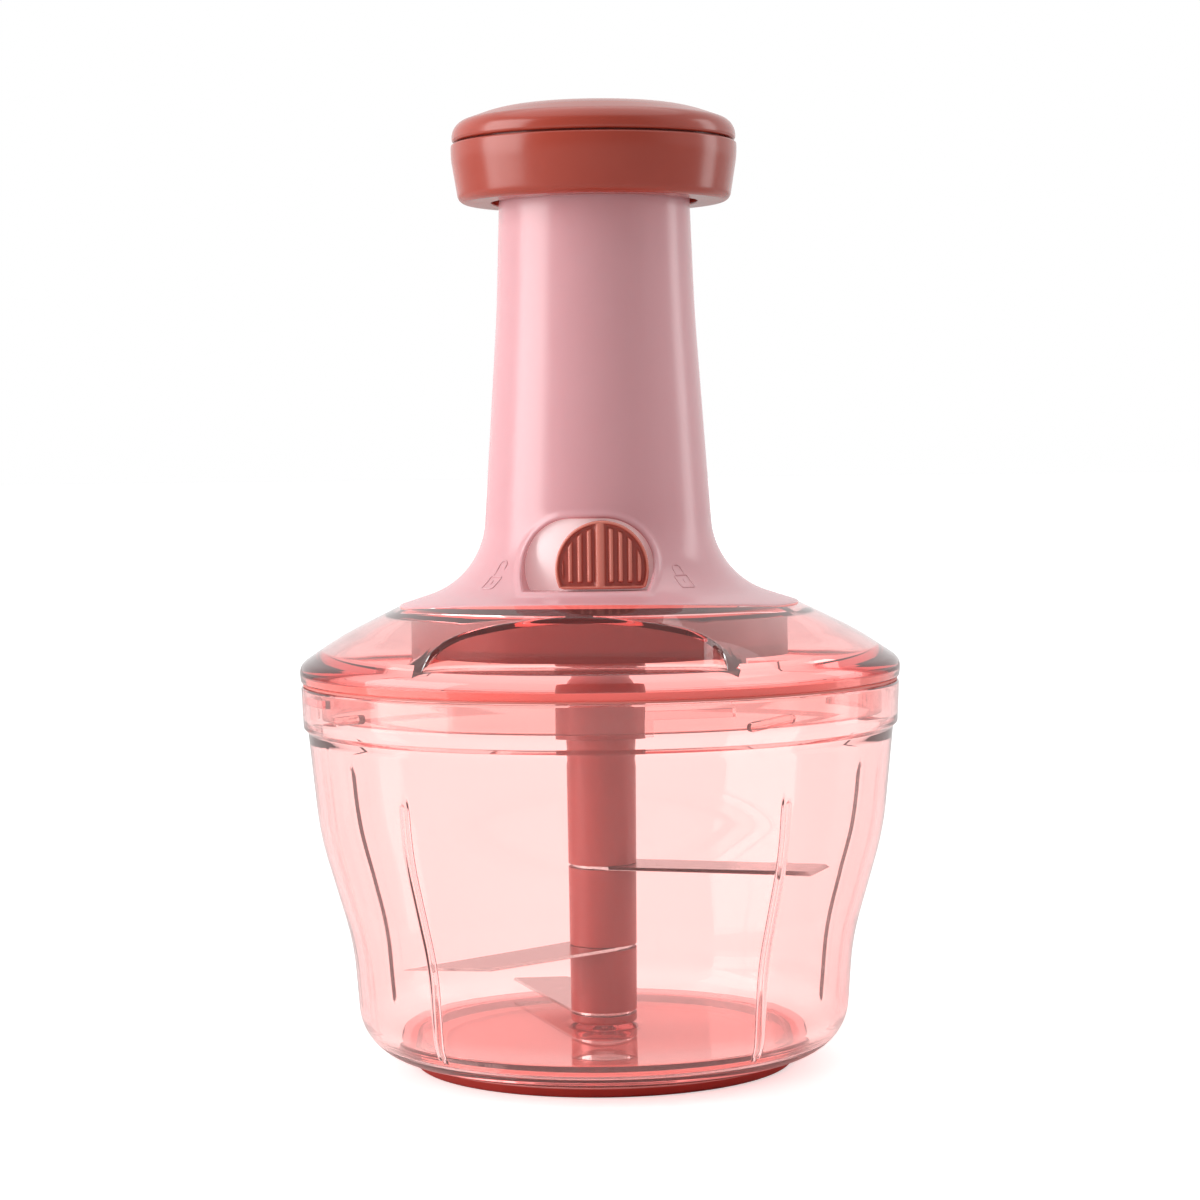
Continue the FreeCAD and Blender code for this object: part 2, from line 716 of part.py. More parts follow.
def make_lid_cover():
    groove_inner = seal_inner - seal_gap
    groove_outer = seal_inner + seal_lip_thick + seal_gap
    groove_top = lid_base + seal_lip_height
    skirt_inner = skirt_outer - skirt_thick
    cone = (lid_brim_height - lid_bend_height) / (lid_brim_radius - lid_bend_radius)
    skirt_root = lid_bend_height + cone * (skirt_inner - lid_bend_radius) - lid_wall_drop
    body = named_part("PartDesign::Body", "lid_cover")
    revolve(body, "section", [
        (0, skirt_base),
        (skirt_outer, skirt_base),
        (skirt_outer, lid_base),
        (groove_inner, lid_base),
        (groove_inner, groove_top),
        (groove_outer, groove_top),
        (groove_outer, lid_base),
        (lid_radius, lid_base),
        (lid_brim_radius, lid_brim_height, lid_brim_round),
        (lid_bend_radius, lid_bend_height, lid_bend),
        (shelf_radius, shelf_top),
        (0, shelf_top),
    ])
    recess = sketch_on(body, "XY_Plane", "grip_recess", height=grip_floor)
    draw_grips(recess, 0)
    extrude(body, recess, shelf_top - grip_floor, "Pocket", flipped=True)
    # the room inside the lid, less the walls of the grips
    core = document.addObject("PartDesign::Body", "lid_core")
    revolve(core, "cavity", [
        (0, skirt_base - shelf_thick),
        (skirt_inner, skirt_base - shelf_thick),
        (skirt_inner, skirt_root),
        (lid_bend_radius, lid_bend_height - lid_wall_drop, lid_bend / 2),
        (shelf_radius - shelf_thick / 2, shelf_base),
        (lid_hole, shelf_base),
        (lid_hole, shelf_top + shelf_thick),
        (0, shelf_top + shelf_thick),
    ])
    pan = sketch_on(core, "XY_Plane", "grip_pan", height=grip_ledge)
    draw_grips(pan, grip_wall)
    extrude(core, pan, shelf_top - grip_ledge, "Pocket", flipped=True)
    hollow = body.newObject("PartDesign::Boolean", "lid_cover_hollow")
    hollow.Type = "Cut"
    hollow.setObjects([core])
    drill(
        body, "screw_holes", case_screw_circle, case_screw_count, case_screw_turn,
        screw_radius + screw_clearance, shelf_base, shelf_thick,
    )
    raise_shelf(body)
    lug = revolve(body, "lug", box_corners(
        skirt_outer - skirt_thick / 2, skirt_outer + lug_depth, lug_top - lug_height, lug_top,
    ), lug_azimuth, lug_sweep)
    repeat(body, [lug], bayonet_count)


def raise_shelf(body):
    # front and back, the lid rises beside the oval foot of the neck and carries on its slope
    collar_top = shelf_top + flange_edge + flange_slope * (shelf_radius - flange_edge - collar_ring_inner)
    for side, azimuth in (("front", 0), ("back", 180)):
        revolve(body, f"{side}_collar", [
            (collar_ring_inner, shelf_top - shelf_thick / 2),
            (shelf_radius, shelf_top - shelf_thick / 2),
            (shelf_radius, shelf_top),
            (shelf_radius - flange_edge, shelf_top + flange_edge),
            (collar_ring_inner, collar_top),
        ], azimuth, collar_ring_sweep)
        seat = sketch_on(body, "XY_Plane", f"{side}_seat", height=shelf_top)
        bend = flange_front_bend
        half = flange_front_bend + flange_front_flat
        rear = flange_front_bend - flange_front + cut_spare
        if side == "front":
            corners = [(-half, -flange_front, bend), (half, -flange_front, bend), (half, rear), (-half, rear)]
        else:
            corners = [(-half, -rear), (half, -rear), (half, flange_front, bend), (-half, flange_front, bend)]
        draw(seat, corners)
        extrude(body, seat, flange_cut_height, "Pocket", flipped=True)


def draw_grips(sketch, wall):
    # the two finger grips, front and back
    half = grip_half_width + wall
    back = grip_back - wall
    far = lid_radius + grip_corner
    corner = grip_corner + wall
    draw(sketch, [(-half, -far), (half, -far), (half, -back, corner), (-half, -back, corner)])
    draw(sketch, [(-half, far), (-half, back, corner), (half, back, corner), (half, far)])


def make_neck():
    body = named_part("PartDesign::Body", "neck_housing")
    hollow_top = shelf_top + flange_hollow_depth
    revolve(body, "section", [
        (bore_radius, hollow_top),
        (flange_hollow_inner, hollow_top),
        (flange_hollow_radius, shelf_top),
        (shelf_radius, shelf_top),
        (shelf_radius - flange_edge, shelf_top + flange_edge),
        (neck_foot_radius, neck_foot_height, neck_foot_bend),
        (neck_mid_radius, neck_mid_height, neck_mid_bend),
        (neck_top_radius, neck_top),
        (bore_radius, neck_top),
    ])
    window = sketch_on(body, "XZ_Plane", "window")
    draw(window, [
        (-window_half_width, window_base, window_foot_round),
        (window_half_width, window_base, window_foot_round),
        (window_half_width, window_top, window_arch_round),
        (-window_half_width, window_top, window_arch_round),
    ])
    extrude(body, window, shelf_radius, "Pocket", flipped=True)
    shift = flange_front_bend - flange_front
    for side, middle in (("front", shift), ("back", -shift)):
        trim = sketch_on(body, "XY_Plane", f"{side}_trim", height=shelf_top)
        draw_circle(trim, 0, middle, flange_front_bend)
        draw_circle(trim, 0, middle, flange_front_bend + shelf_radius - flange_front + cut_spare)
        extrude(body, trim, flange_cut_height, "Pocket", flipped=True)
    revolve(body, "sleeve", box_corners(bore_radius, sleeve_radius, hollow_top, sleeve_top))
    bosses = sketch_on(body, "XY_Plane", "bosses", height=shelf_top)
    for i in range(int(case_screw_count.value)):
        angle = math.radians(case_screw_turn.value + 360 * i / case_screw_count.value)
        x = case_screw_circle * math.cos(angle)
        y = case_screw_circle * math.sin(angle)
        draw_circle(bosses, x, y, boss_radius)
    extrude(body, bosses, boss_height)
    drill(
        body, "screw_holes", case_screw_circle, case_screw_count, case_screw_turn,
        screw_radius, shelf_top, boss_height,
    )
    slit_sweep = slider_throw + slider_bite + catch_sweep + 2 * slit_spare
    slit_azimuth = slider_azimuth + (slider_bite - slider_throw) / 2
    revolve(body, "slit", box_corners(
        bore_radius - cut_spare, sleeve_radius + cut_spare, catch_base - catch_gap, catch_base + catch_height + catch_gap,
    ), slit_azimuth, slit_sweep, kind="Groove")
    revolve(body, "key", box_corners(
        bore_radius - key_depth, bore_radius + key_root, hollow_top, guide_base - guide_stop,
    ), 180, key_sweep)


def make_head_inside():
    turned("guide_bush", [
        (tube_radius + guide_gap, guide_base),
        (bore_radius, guide_base),
        (bore_radius, neck_top),
        (neck_top_radius - guide_gap, neck_top),
        (neck_top_radius - guide_gap, neck_top + guide_flange),
        (tube_radius + guide_gap, neck_top + guide_flange),
    ])
    case = turned("mechanism_case", [
        (bush_radius, case_collar_base),
        (case_collar_radius, case_collar_base),
        (case_collar_radius, case_base),
        (case_radius, case_base),
        (case_radius, shelf_base),
        (lid_hole - spigot_gap, shelf_base),
        (lid_hole - spigot_gap, spigot_top),
        (lid_hole - spigot_gap - spigot_thick, spigot_top),
        (lid_hole - spigot_gap - spigot_thick, case_floor),
        (bush_radius, case_floor),
    ])
    drill(
        case, "screw_holes", case_screw_circle, case_screw_count, case_screw_turn,
        screw_radius + screw_clearance, case_base, shelf_base - case_base,
    )
    drill(
        case, "screw_heads", case_screw_circle, case_screw_count, case_screw_turn,
        screw_head_radius + screw_clearance, case_base, case_floor - case_base,
    )
    skirt_inner = case_radius - cover_skirt
    seal_radius = hub_radius + running_gap + shaft_seal_thick
    turned("mechanism_cover", [
        (seal_radius, cover_base),
        (case_radius, cover_base),
        (case_radius, case_base),
        (skirt_inner, case_base),
        (skirt_inner, cover_base + cover_thick),
        (seal_radius, cover_base + cover_thick),
    ])
    turned("shaft_seal", box_corners(
        hub_radius + running_gap, seal_radius, cover_base, cover_base + cover_thick,
    ))
    turned("bearing_bush", [
        (spindle_radius + running_gap, case_collar_base - bush_drop),
        (bush_radius, case_collar_base - bush_drop),
        (bush_radius, case_floor),
        (bush_flange_radius, case_floor),
        (bush_flange_radius, bush_top),
        (spindle_radius + running_gap, bush_top),
    ])
    screw_set(
        "case_screws", case_screw_circle, case_screw_count, case_screw_turn,
        case_floor - screw_head_height, False, shelf_top + boss_height - case_floor,
    )


def make_spring():
    # wound of half turns, each a tilted half ring that meets the next one smoothly
    low = case_floor + wire_radius + spring_seat
    high = tube_foot - wire_radius - spring_seat
    rise = (high - low) / spring_turns / 2
    tilt = math.degrees(math.atan(rise.value / 2 / spring_radius.value))
    coils = []
    for i in range(2 * int(spring_turns.value)):
        coil = document.addObject("Part::Torus", f"coil{i}")
        turn = FreeCAD.Rotation(upright, 180 * i) * FreeCAD.Rotation(local_up, tilt)
        coil.Placement = FreeCAD.Placement(origin, turn)
        coil.Angle3 = 180
        coil.setExpression("Radius1", f"hypot({spring_radius.text}; {(rise / 2).text})")
        coil.setExpression("Radius2", wire_radius.text)
        coil.setExpression("Placement.Base.z", (low + rise * (i + 0.5)).text)
        coils.append(coil)
    spring = named_part("Part::MultiFuse", "return_spring")
    spring.Shapes = coils


# plunger: what the hand pushes

def make_tube():
    body = turned("plunger_tube", [
        (tube_inner, tube_foot),
        (collar_radius, tube_foot),
        (collar_radius, tube_foot + collar_height),
        (tube_radius, tube_foot + collar_height),
        (tube_radius, web_base),
        (0, web_base),
        (0, web_base - tube_roof),
        (tube_inner, web_base - tube_roof),
        (tube_inner, nut_top + tube_shoulder_thick),
        (tube_shoulder, nut_top + tube_shoulder_thick),
        (tube_shoulder, nut_top),
        (tube_inner, nut_top),
    ])
    collar = box_corners(
        tube_radius, collar_radius + cut_spare, tube_foot - catch_gap, tube_foot + collar_height + catch_gap,
    )
    revolve(body, "key_notch", collar, 180, key_sweep + 2 * key_gap, kind="Groove")
    notch_high = slider_azimuth + catch_sweep / 2 + catch_play
    notch_low = slider_azimuth - slider_throw - catch_sweep / 2 - slit_spare
    revolve(
        body, "catch_notch", collar, (notch_high + notch_low) / 2, notch_high - notch_low, kind="Groove",
    )
    drill(
        body, "screw_holes", knob_screw_circle, knob_screw_count, knob_screw_turn,
        screw_radius, web_base - tube_roof, tube_roof,
    )


def make_nut():
    body = named_part("PartDesign::Body", "helix_nut")
    disc = sketch_on(body, "XY_Plane", "disc", height=nut_base)
    draw_circle(disc, 0, 0, tube_inner - nut_gap)
    half_wide = rod_width / 2 + slot_gap_wide
    half_thin = rod_thick / 2 + slot_gap_thin
    draw(disc, box_corners(-half_wide, half_wide, -half_thin, half_thin))
    extrude(body, disc, nut_thick)
    turned("nut_retainer", box_corners(retainer_bore, tube_inner, tube_foot, nut_base))


def make_knob():
    sleeve = knob_opening + knob_wall
    body = turned("knob_body", [
        (knob_opening, knob_base),
        (knob_foot_radius, knob_base, knob_foot_round),
        (knob_radius, knob_widest, knob_bend),
        (knob_radius - knob_rim_draw, knob_rim),
        (cap_radius - cap_wall, knob_rim),
        (knob_foot_radius - knob_wall, knob_base + knob_wall),
        (sleeve, knob_base + knob_wall),
        (sleeve, web_top),
        (0, web_top),
        (0, web_base),
        (knob_opening, web_base),
    ])
    drill(
        body, "screw_holes", knob_screw_circle, knob_screw_count, knob_screw_turn,
        screw_radius + screw_clearance, web_base, knob_web_thick,
    )
    skirt_outer_radius = cap_radius - cap_wall - cap_skirt_gap
    skirt_inner_radius = skirt_outer_radius - cap_skirt_thick
    turned("knob_cap", [
        (cap_radius, knob_rim + seam_gap),
        (cap_radius, cap_shoulder, cap_shoulder_round),
        (cap_dome_radius, cap_top, cap_dome_bend),
        (0, cap_top),
        (0, cap_top - cap_wall),
        (cap_dome_radius - cap_wall / 2, cap_top - cap_wall, cap_dome_bend - cap_wall),
        (skirt_inner_radius, cap_shoulder - cap_wall + cap_roof_lift, cap_shoulder_round - cap_wall),
        (skirt_inner_radius, knob_rim - cap_skirt_drop),
        (skirt_outer_radius, knob_rim - cap_skirt_drop),
        (skirt_outer_radius, knob_rim + seam_gap),
    ])
    screw_set(
        "knob_screws", knob_screw_circle, knob_screw_count, knob_screw_turn,
        web_top, True, knob_web_thick + tube_roof + knob_screw_spare,
    )


# drive: what the twisted rod turns

def make_rod():
    # a flat strip, straight in the spindle and twisted above it
    half_wide = rod_width.value / 2
    half_thin = rod_thick.value / 2
    level = spindle_top.value
    corners = [
        FreeCAD.Vector(-half_wide, -half_thin, level),
        FreeCAD.Vector(half_wide, -half_thin, level),
        FreeCAD.Vector(half_wide, half_thin, level),
        FreeCAD.Vector(-half_wide, half_thin, level),
    ]
    section = Part.makePolygon(corners + corners[:1])
    section.rotate(origin, upright, rod_foot_angle.value)
    foot = Part.Face(section).extrude(FreeCAD.Vector(0, 0, rod_foot.value - level))
    height = rod_top.value - level
    spine = Part.Wire(Part.makeLine(FreeCAD.Vector(0, 0, level), FreeCAD.Vector(0, 0, level + height)))
    guide = Part.makeHelix(rod_lead.value, height, rod_width.value)
    guide.translate(FreeCAD.Vector(0, 0, level))
    sweep = Part.BRepOffsetAPI.MakePipeShell(spine)
    sweep.setAuxiliarySpine(Part.Wire(guide.Edges), False, 0)
    sweep.add(section)
    sweep.build()
    sweep.makeSolid()
    item = named_part("Part::Feature", "twisted_rod")
    item.Shape = sweep.shape().fuse(foot).removeSplitter()


def make_drive():
    spindle = turned("drive_spindle", [
        (0, hub_web_base + hub_web_thick),
        (spindle_radius, hub_web_base + hub_web_thick),
        (spindle_radius, flange_base),
        (spindle_flange_radius, flange_base),
        (spindle_flange_radius, spindle_top),
        (0, spindle_top),
    ])
    slot = sketch_on(spindle, "XY_Plane", "slot", height=spindle_top, turn=rod_foot_angle)
    draw(slot, box_corners(-rod_width / 2, rod_width / 2, -rod_thick / 2, rod_thick / 2))
    extrude(spindle, slot, spindle_top - rod_foot, "Pocket")
    hole = sketch_on(spindle, "XY_Plane", "screw_hole", height=hub_web_base + hub_web_thick)
    draw_circle(hole, 0, 0, screw_radius)
    extrude(spindle, hole, 2 * screw_radius, "Pocket", flipped=True)
    turned("thrust_washer", box_corners(
        spindle_radius, washer_radius, washer_base, flange_base,
    ))
    clutch = turned("clutch_ring", box_corners(
        spindle_radius, hub_cup - clutch_gap,
        hub_web_base + hub_web_thick, hub_web_base + hub_web_thick + clutch_height,
    ))
    tooth = revolve(clutch, "tooth", box_corners(
        hub_cup - clutch_gap - tooth_depth, hub_cup + cut_spare, hub_web_base, hub_top + cut_spare,
    ), 0, tooth_sweep, kind="Groove")
    repeat(clutch, [tooth], tooth_count)
    hub = turned("drive_hub", [
        (hub_socket, hub_base),
        (hub_radius, hub_base),
        (hub_radius, hub_top),
        (hub_cup, hub_top),
        (hub_cup, hub_web_base + hub_web_thick),
        (screw_radius + screw_clearance, hub_web_base + hub_web_thick),
        (screw_radius + screw_clearance, hub_web_base),
        (hub_socket, hub_web_base),
    ])
    key = revolve(hub, "dog", box_corners(
        spigot_radius + dog_gap, hub_socket + dog_root, dog_base, hub_web_base,
    ), 0, dog_sweep)
    repeat(hub, [key], dog_count)
    turned("hub_screw", [
        (0, hub_web_base - screw_head_height),
        (screw_head_radius, hub_web_base - screw_head_height),
        (screw_head_radius, hub_web_base),
        (screw_radius, hub_web_base),
        (screw_radius, hub_web_base + hub_web_thick + 2 * screw_radius),
        (0, hub_web_base + hub_web_thick + 2 * screw_radius),
    ])


# blade column: what turns in the bowl

def make_blade(label, height, azimuth, reach=blade_reach):
    body = named_part("PartDesign::Body", label)
    outline = sketch_on(body, "XY_Plane", "outline", height=height)
    half = blade_width / 2
    draw(outline, [
        (-half, half, half - blade_tail_flat),
        (-half, -(reach - blade_point)),
        (blade_nose, -reach),
        (half, -(reach - blade_nose)),
        (half, half, half - blade_tail_flat),
    ])
    extrude(body, outline, blade_thick)
    hole = hexagon(body, "hole", height, -azimuth)
    extrude(body, hole, blade_thick, "Pocket", flipped=True)
    turn_part(body, azimuth)


def make_column_piece(label, low, high):
    body = turned(label, [
        (0, low),
        (column_radius(low), low),
        (column_radius(high), high),
        (0, high),
    ])
    hole = hexagon(body, "hole", low)
    extrude(body, hole, high - low, "Pocket", flipped=True)


def make_column():
    bore = pin_radius + core_bore_gap
    foot = turned("column_foot", [
        (bore, column_base),
        (column_foot_radius, column_base, column_foot_round),
        (column_radius(lower_blade_height), lower_blade_height),
        (bore, lower_blade_height),
    ])
    seat = hexagon(foot, "hole", core_foot)
    extrude(foot, seat, lower_blade_height - core_foot, "Pocket", flipped=True)
    make_blade("blade_lower", lower_blade_height, lower_blade_azimuth, lower_blade_reach)
    make_column_piece("column_lower", lower_blade_height + blade_thick, middle_blade_height)
    make_blade("blade_middle", middle_blade_height, middle_blade_azimuth)
    make_column_piece("column_middle", middle_blade_height + blade_thick, upper_blade_height)
    make_blade("blade_upper", upper_blade_height, upper_blade_azimuth)
    top_base = upper_blade_height + blade_thick
    top = turned("column_head", [
        (0, top_base),
        (column_radius(top_base), top_base),
        (column_top_radius, column_top),
        (spigot_radius, column_top),
        (spigot_radius, column_spigot_top),
        (0, column_spigot_top),
    ])
    dog = revolve(top, "dog", box_corners(
        spigot_radius - dog_root, hub_socket - dog_gap, dog_base, column_spigot_top - dog_gap,
    ), 180, dog_sweep)
    repeat(top, [dog], dog_count)
    seat = hexagon(top, "hole", top_base)
    extrude(top, seat, core_top - top_base, "Pocket", flipped=True)
    core = named_part("PartDesign::Body", "column_core")
    extrude(core, hexagon(core, "outline", core_foot), core_top - core_foot)
    well = sketch_on(core, "XY_Plane", "bore", height=core_foot)
    draw_circle(well, 0, 0, bore)
    extrude(core, well, pin_top + core_bore_spare - core_foot, "Pocket", flipped=True)


# lock

def make_lock():
    slider = named_part("PartDesign::Body", "lock_slider")
    face = sketch_on(slider, "XZ_Plane", "face")
    low = window_base + slider_gap
    high = window_top - slider_gap
    draw(face, [
        (-slider_half_width, low, slider_round),
        (slider_half_width, low, slider_round),
        (slider_half_width, high, slider_round),
        (-slider_half_width, high, slider_round),
    ])
    extrude(slider, face, slider_face + 2 * cut_spare)
    revolve(slider, "back", box_corners(0, slider_back, low - cut_spare, high + cut_spare), kind="Groove")
    revolve(slider, "front", box_corners(
        slider_face, 2 * slider_face, low - cut_spare, high + cut_spare,
    ), kind="Groove")
    turn_part(slider, slider_azimuth)
    catch = named_part("PartDesign::Body", "lock_catch")
    revolve(catch, "section", box_corners(
        catch_tip, slider_back, catch_base, catch_base + catch_height,
    ), 0, catch_sweep)
    turn_part(catch, slider_azimuth)


def check_and_write():
    document.recompute()
    for item in document.Objects:
        if "Invalid" in item.State or "Error" in item.State:
            raise RuntimeError(f"{item.Label} failed")
        if item.TypeId in ("PartDesign::Pocket", "PartDesign::Groove"):
            if item.Shape.Volume > item.BaseFeature.Shape.Volume - 0.01:
                raise RuntimeError(f"{item.Label} removes nothing")
    for item in parts:
        if item.Shape.isNull() or not item.Shape.isValid():
            raise RuntimeError(f"{item.Label} has no valid shape")
    os.makedirs("parts", exist_ok=True)
    for item in parts:
        item.Shape.exportStep(f"parts/{item.Label}.step")
    print(f"{len(parts)} sub-parts written")


make_bowl()
make_foot()
make_lid_seal()
make_lid_cover()
make_neck()
make_head_inside()
make_spring()
make_tube()
make_nut()
make_knob()
make_rod()
make_drive()
make_column()
make_lock()
check_and_write()
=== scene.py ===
import json
import math
import bpy
import bmesh
from mathutils import Matrix, Vector


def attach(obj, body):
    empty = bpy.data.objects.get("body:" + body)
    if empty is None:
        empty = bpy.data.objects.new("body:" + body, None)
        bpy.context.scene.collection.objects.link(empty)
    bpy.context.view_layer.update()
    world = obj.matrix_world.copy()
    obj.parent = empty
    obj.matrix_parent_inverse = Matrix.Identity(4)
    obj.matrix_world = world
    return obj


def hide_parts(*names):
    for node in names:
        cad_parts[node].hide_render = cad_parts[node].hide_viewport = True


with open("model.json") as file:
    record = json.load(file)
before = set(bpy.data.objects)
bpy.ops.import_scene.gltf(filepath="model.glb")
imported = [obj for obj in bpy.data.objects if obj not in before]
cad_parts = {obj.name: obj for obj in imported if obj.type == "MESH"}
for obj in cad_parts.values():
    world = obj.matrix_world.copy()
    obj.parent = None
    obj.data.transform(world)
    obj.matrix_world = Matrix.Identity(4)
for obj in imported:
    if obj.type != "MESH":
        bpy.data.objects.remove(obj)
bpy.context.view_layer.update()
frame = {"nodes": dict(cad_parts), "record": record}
print("stage 1: packed model loaded,", len(frame["nodes"]), "nodes")


def addObject(name, data):
    made = bpy.data.objects.new(name, data)
    bpy.context.scene.collection.objects.link(made)
    return made


# the camera stands almost straight in front, a little above the middle
camera = {
    "azimuth": 5.5,        # degrees round the chopper from its front
    "distance": 785.0,     # mm from the axis
    "height": 158.6,       # mm above the floor
    "pitch": 2.1,          # degrees down
    "yaw": 0.026,
    "roll": 0.71,
    "lens": 91.32,
    "sensor": 36.0,
    "drop": -0.0345,       # small shift that keeps the upright lines upright
    "near": 0.02, "far": 60,
}


def aimCamera():
    a, p = math.radians(camera["azimuth"]), math.radians(camera["pitch"])
    right = Vector((math.cos(a), math.sin(a), 0))
    ahead = Vector((-math.sin(a) * math.cos(p), math.cos(a) * math.cos(p), -math.sin(p)))
    level = Matrix((right, right.cross(ahead), -ahead)).transposed()
    yaw = Matrix.Rotation(-math.radians(camera["yaw"]), 3, "Z")
    roll = Matrix.Rotation(-math.radians(camera["roll"]), 3, "Z")
    data = bpy.data.cameras.new("camera")
    data.lens, data.sensor_width, data.sensor_fit = camera["lens"], camera["sensor"], "HORIZONTAL"
    data.clip_start, data.clip_end, data.shift_y = camera["near"], camera["far"], camera["drop"]
    eye = addObject("camera", data)
    away = camera["distance"]
    place = Vector((away * math.sin(a), -away * math.cos(a), camera["height"])) * 0.001
    eye.matrix_world = Matrix.Translation(place) @ (yaw @ level @ roll).to_4x4()
    bpy.context.scene.camera = eye


aimCamera()
bpy.context.scene.view_settings.view_transform = "Standard"


def colour(code):               # sRGB hex to linear
    parts = [int(code[i:i + 2], 16) / 255 for i in (1, 3, 5)]
    return tuple(c / 12.92 if c <= 0.04045 else ((c + 0.055) / 1.055) ** 2.4 for c in parts) + (1.0,)


def addNode(tree, kind, settings=None, links=None):
    made = tree.nodes.new("ShaderNode" + kind)
    for key, value in (settings or {}).items():
        if isinstance(key, int) or key in made.inputs:
            made.inputs[key].default_value = value
        else:
            setattr(made, key, value)
    for key, source in (links or {}).items():
        tree.links.new(source, made.inputs[key])
    return made


def addNoise(tree, where, size, detail, rough=0.5):      # size of its features in mm
    settings = {"Scale": 1000.0 / size, "Detail": detail, "Roughness": rough}
    return addNode(tree, "TexNoise", settings, {"Vector": where})


def addRange(tree, source, start, end, kind="LINEAR"):      # carries values from one pair to another
    settings = {"interpolation_type": kind, "From Min": start[0], "From Max": start[1]}
    settings.update({"To Min": end[0], "To Max": end[1]})
    return addNode(tree, "MapRange", settings, {"Value": source})


def freshMaterial(name):
    made = bpy.data.materials.new(name)
    made.use_nodes = True
    made.node_tree.nodes.clear()
    return made, made.node_tree


# white room with a dim front, a wide softbox on the left and a slim one on the right, in metres
light = {
    "ambient": 0.36,       # what the room gives dull surfaces
    "backdrop": 1.0,       # white walls behind and beside, seen directly, through the plastic and in its gloss
    "front": 0.32,         # the dim side of the room in front, seen in gloss only
    "frontWay": (0.1, -0.99, 0.05), "frontFades": (0.25, 0.85),
    "left": {"azimuth": -72, "distance": 1.25, "height": 0.5, "wide": 0.95, "tall": 1.1, "power": 14.0},
    "right": {"azimuth": 112, "distance": 1.2, "height": 0.45, "wide": 0.35, "tall": 0.9, "power": 2.5},
    "aim": (0, 0, 0.13), "topStrength": 1.2, "topSpread": 80,
}


def hangSoftbox(name, box):
    data = bpy.data.lights.new(name, "AREA")
    data.shape, data.size, data.size_y, data.energy = "RECTANGLE", box["wide"], box["tall"], box["power"]
    lamp = addObject(name, data)
    a = math.radians(box["azimuth"])
    place = Vector((box["distance"] * math.sin(a), -box["distance"] * math.cos(a), box["height"]))
    turn = (place - Vector(light["aim"])).to_track_quat("Z", "Y").to_matrix().to_4x4()
    lamp.matrix_world = Matrix.Translation(place) @ turn


def lightRoom():
    room = bpy.data.worlds.new("studio")
    room.use_nodes = True
    tree = room.node_tree
    tree.nodes.clear()
    white = colour("#FFFFFF")
    path = addNode(tree, "LightPath")
    direct = addNode(tree, "Math", {"operation": "MAXIMUM"},
                     {0: path.outputs["Is Camera Ray"], 1: path.outputs["Is Transmission Ray"]})
    inside = addNode(tree, "Math", {"operation": "MINIMUM"},      # gloss within clear walls
                     {0: path.outputs["Is Glossy Ray"], 1: path.outputs["Transmission Depth"]})
    through = addNode(tree, "Math", {"operation": "MAXIMUM"}, {0: direct.outputs[0], 1: inside.outputs[0]})
    where = addNode(tree, "TexCoord")
    ahead = addNode(tree, "VectorMath", {"operation": "DOT_PRODUCT", 1: light["frontWay"]},
                    {0: where.outputs["Generated"]})
    dim = addRange(tree, ahead.outputs["Value"], light["frontFades"], (light["backdrop"], light["front"]),
                   "SMOOTHSTEP")
    soft = addNode(tree, "Background", {"Color": white, "Strength": light["ambient"]})
    wall = addNode(tree, "Background", {"Color": white}, {"Strength": dim.outputs[0]})
    back = addNode(tree, "Background", {"Color": white, "Strength": light["backdrop"]})
    dull = addNode(tree, "MixShader", None, {0: path.outputs["Is Glossy Ray"], 1: soft.outputs[0], 2: wall.outputs[0]})
    both = addNode(tree, "MixShader", None, {0: through.outputs[0], 1: dull.outputs[0], 2: back.outputs[0]})
    addNode(tree, "OutputWorld", None, {"Surface": both.outputs[0]})
    bpy.context.scene.world = room
    hangSoftbox("softboxLeft", light["left"])
    hangSoftbox("softboxRight", light["right"])
    sky = bpy.data.lights.new("overhead", "SUN")
    sky.energy, sky.angle = light["topStrength"], math.radians(light["topSpread"])
    addObject("overhead", sky)


# half in metres, cloud in mm; the glow is light from below, as in a light table
table = {"half": 14.0, "tone": "#E2E1E0", "cloud": 60, "roughness": (0.46, 0.54), "gloss": 0.1, "glow": 0.55}


def layFloor():
    mesh = bpy.data.meshes.new("floor")
    half = table["half"]
    mesh.from_pydata([(-half, -half, 0), (half, -half, 0), (half, half, 0), (-half, half, 0)], [], [(0, 1, 2, 3)])
    slab = addObject("floor", mesh)
    # opal acrylic table, moulded: even white with a faint sheen
    opal, tree = freshMaterial("opalAcrylicTable")
    white = colour("#FFFFFF")
    where = addNode(tree, "TexCoord")
    cloud = addNoise(tree, where.outputs["Object"], table["cloud"], 2.0)
    sheen = addRange(tree, cloud.outputs["Fac"], (0.0, 1.0), table["roughness"])
    face = addNode(tree, "BsdfPrincipled",
                   {"Base Color": colour(table["tone"]), "IOR": 1.49, "Specular IOR Level": table["gloss"]},
                   {"Roughness": sheen.outputs[0]})
    glow = addNode(tree, "Emission", {"Color": white, "Strength": table["glow"]})
    none = addNode(tree, "Emission", {"Color": white, "Strength": 0.0})
    path = addNode(tree, "LightPath")
    straight = addNode(tree, "Math", {"operation": "MAXIMUM"},
                       {0: path.outputs["Is Camera Ray"], 1: path.outputs["Is Transmission Ray"]})
    under = addNode(tree, "MixShader", None, {0: straight.outputs[0], 1: none.outputs[0], 2: glow.outputs[0]})
    both = addNode(tree, "AddShader", None, {0: face.outputs[0], 1: under.outputs[0]})
    addNode(tree, "OutputMaterial", None, {"Surface": both.outputs[0]})
    mesh.materials.append(opal)


lightRoom()
layFloor()
print("stage 2: camera, light and floor set")


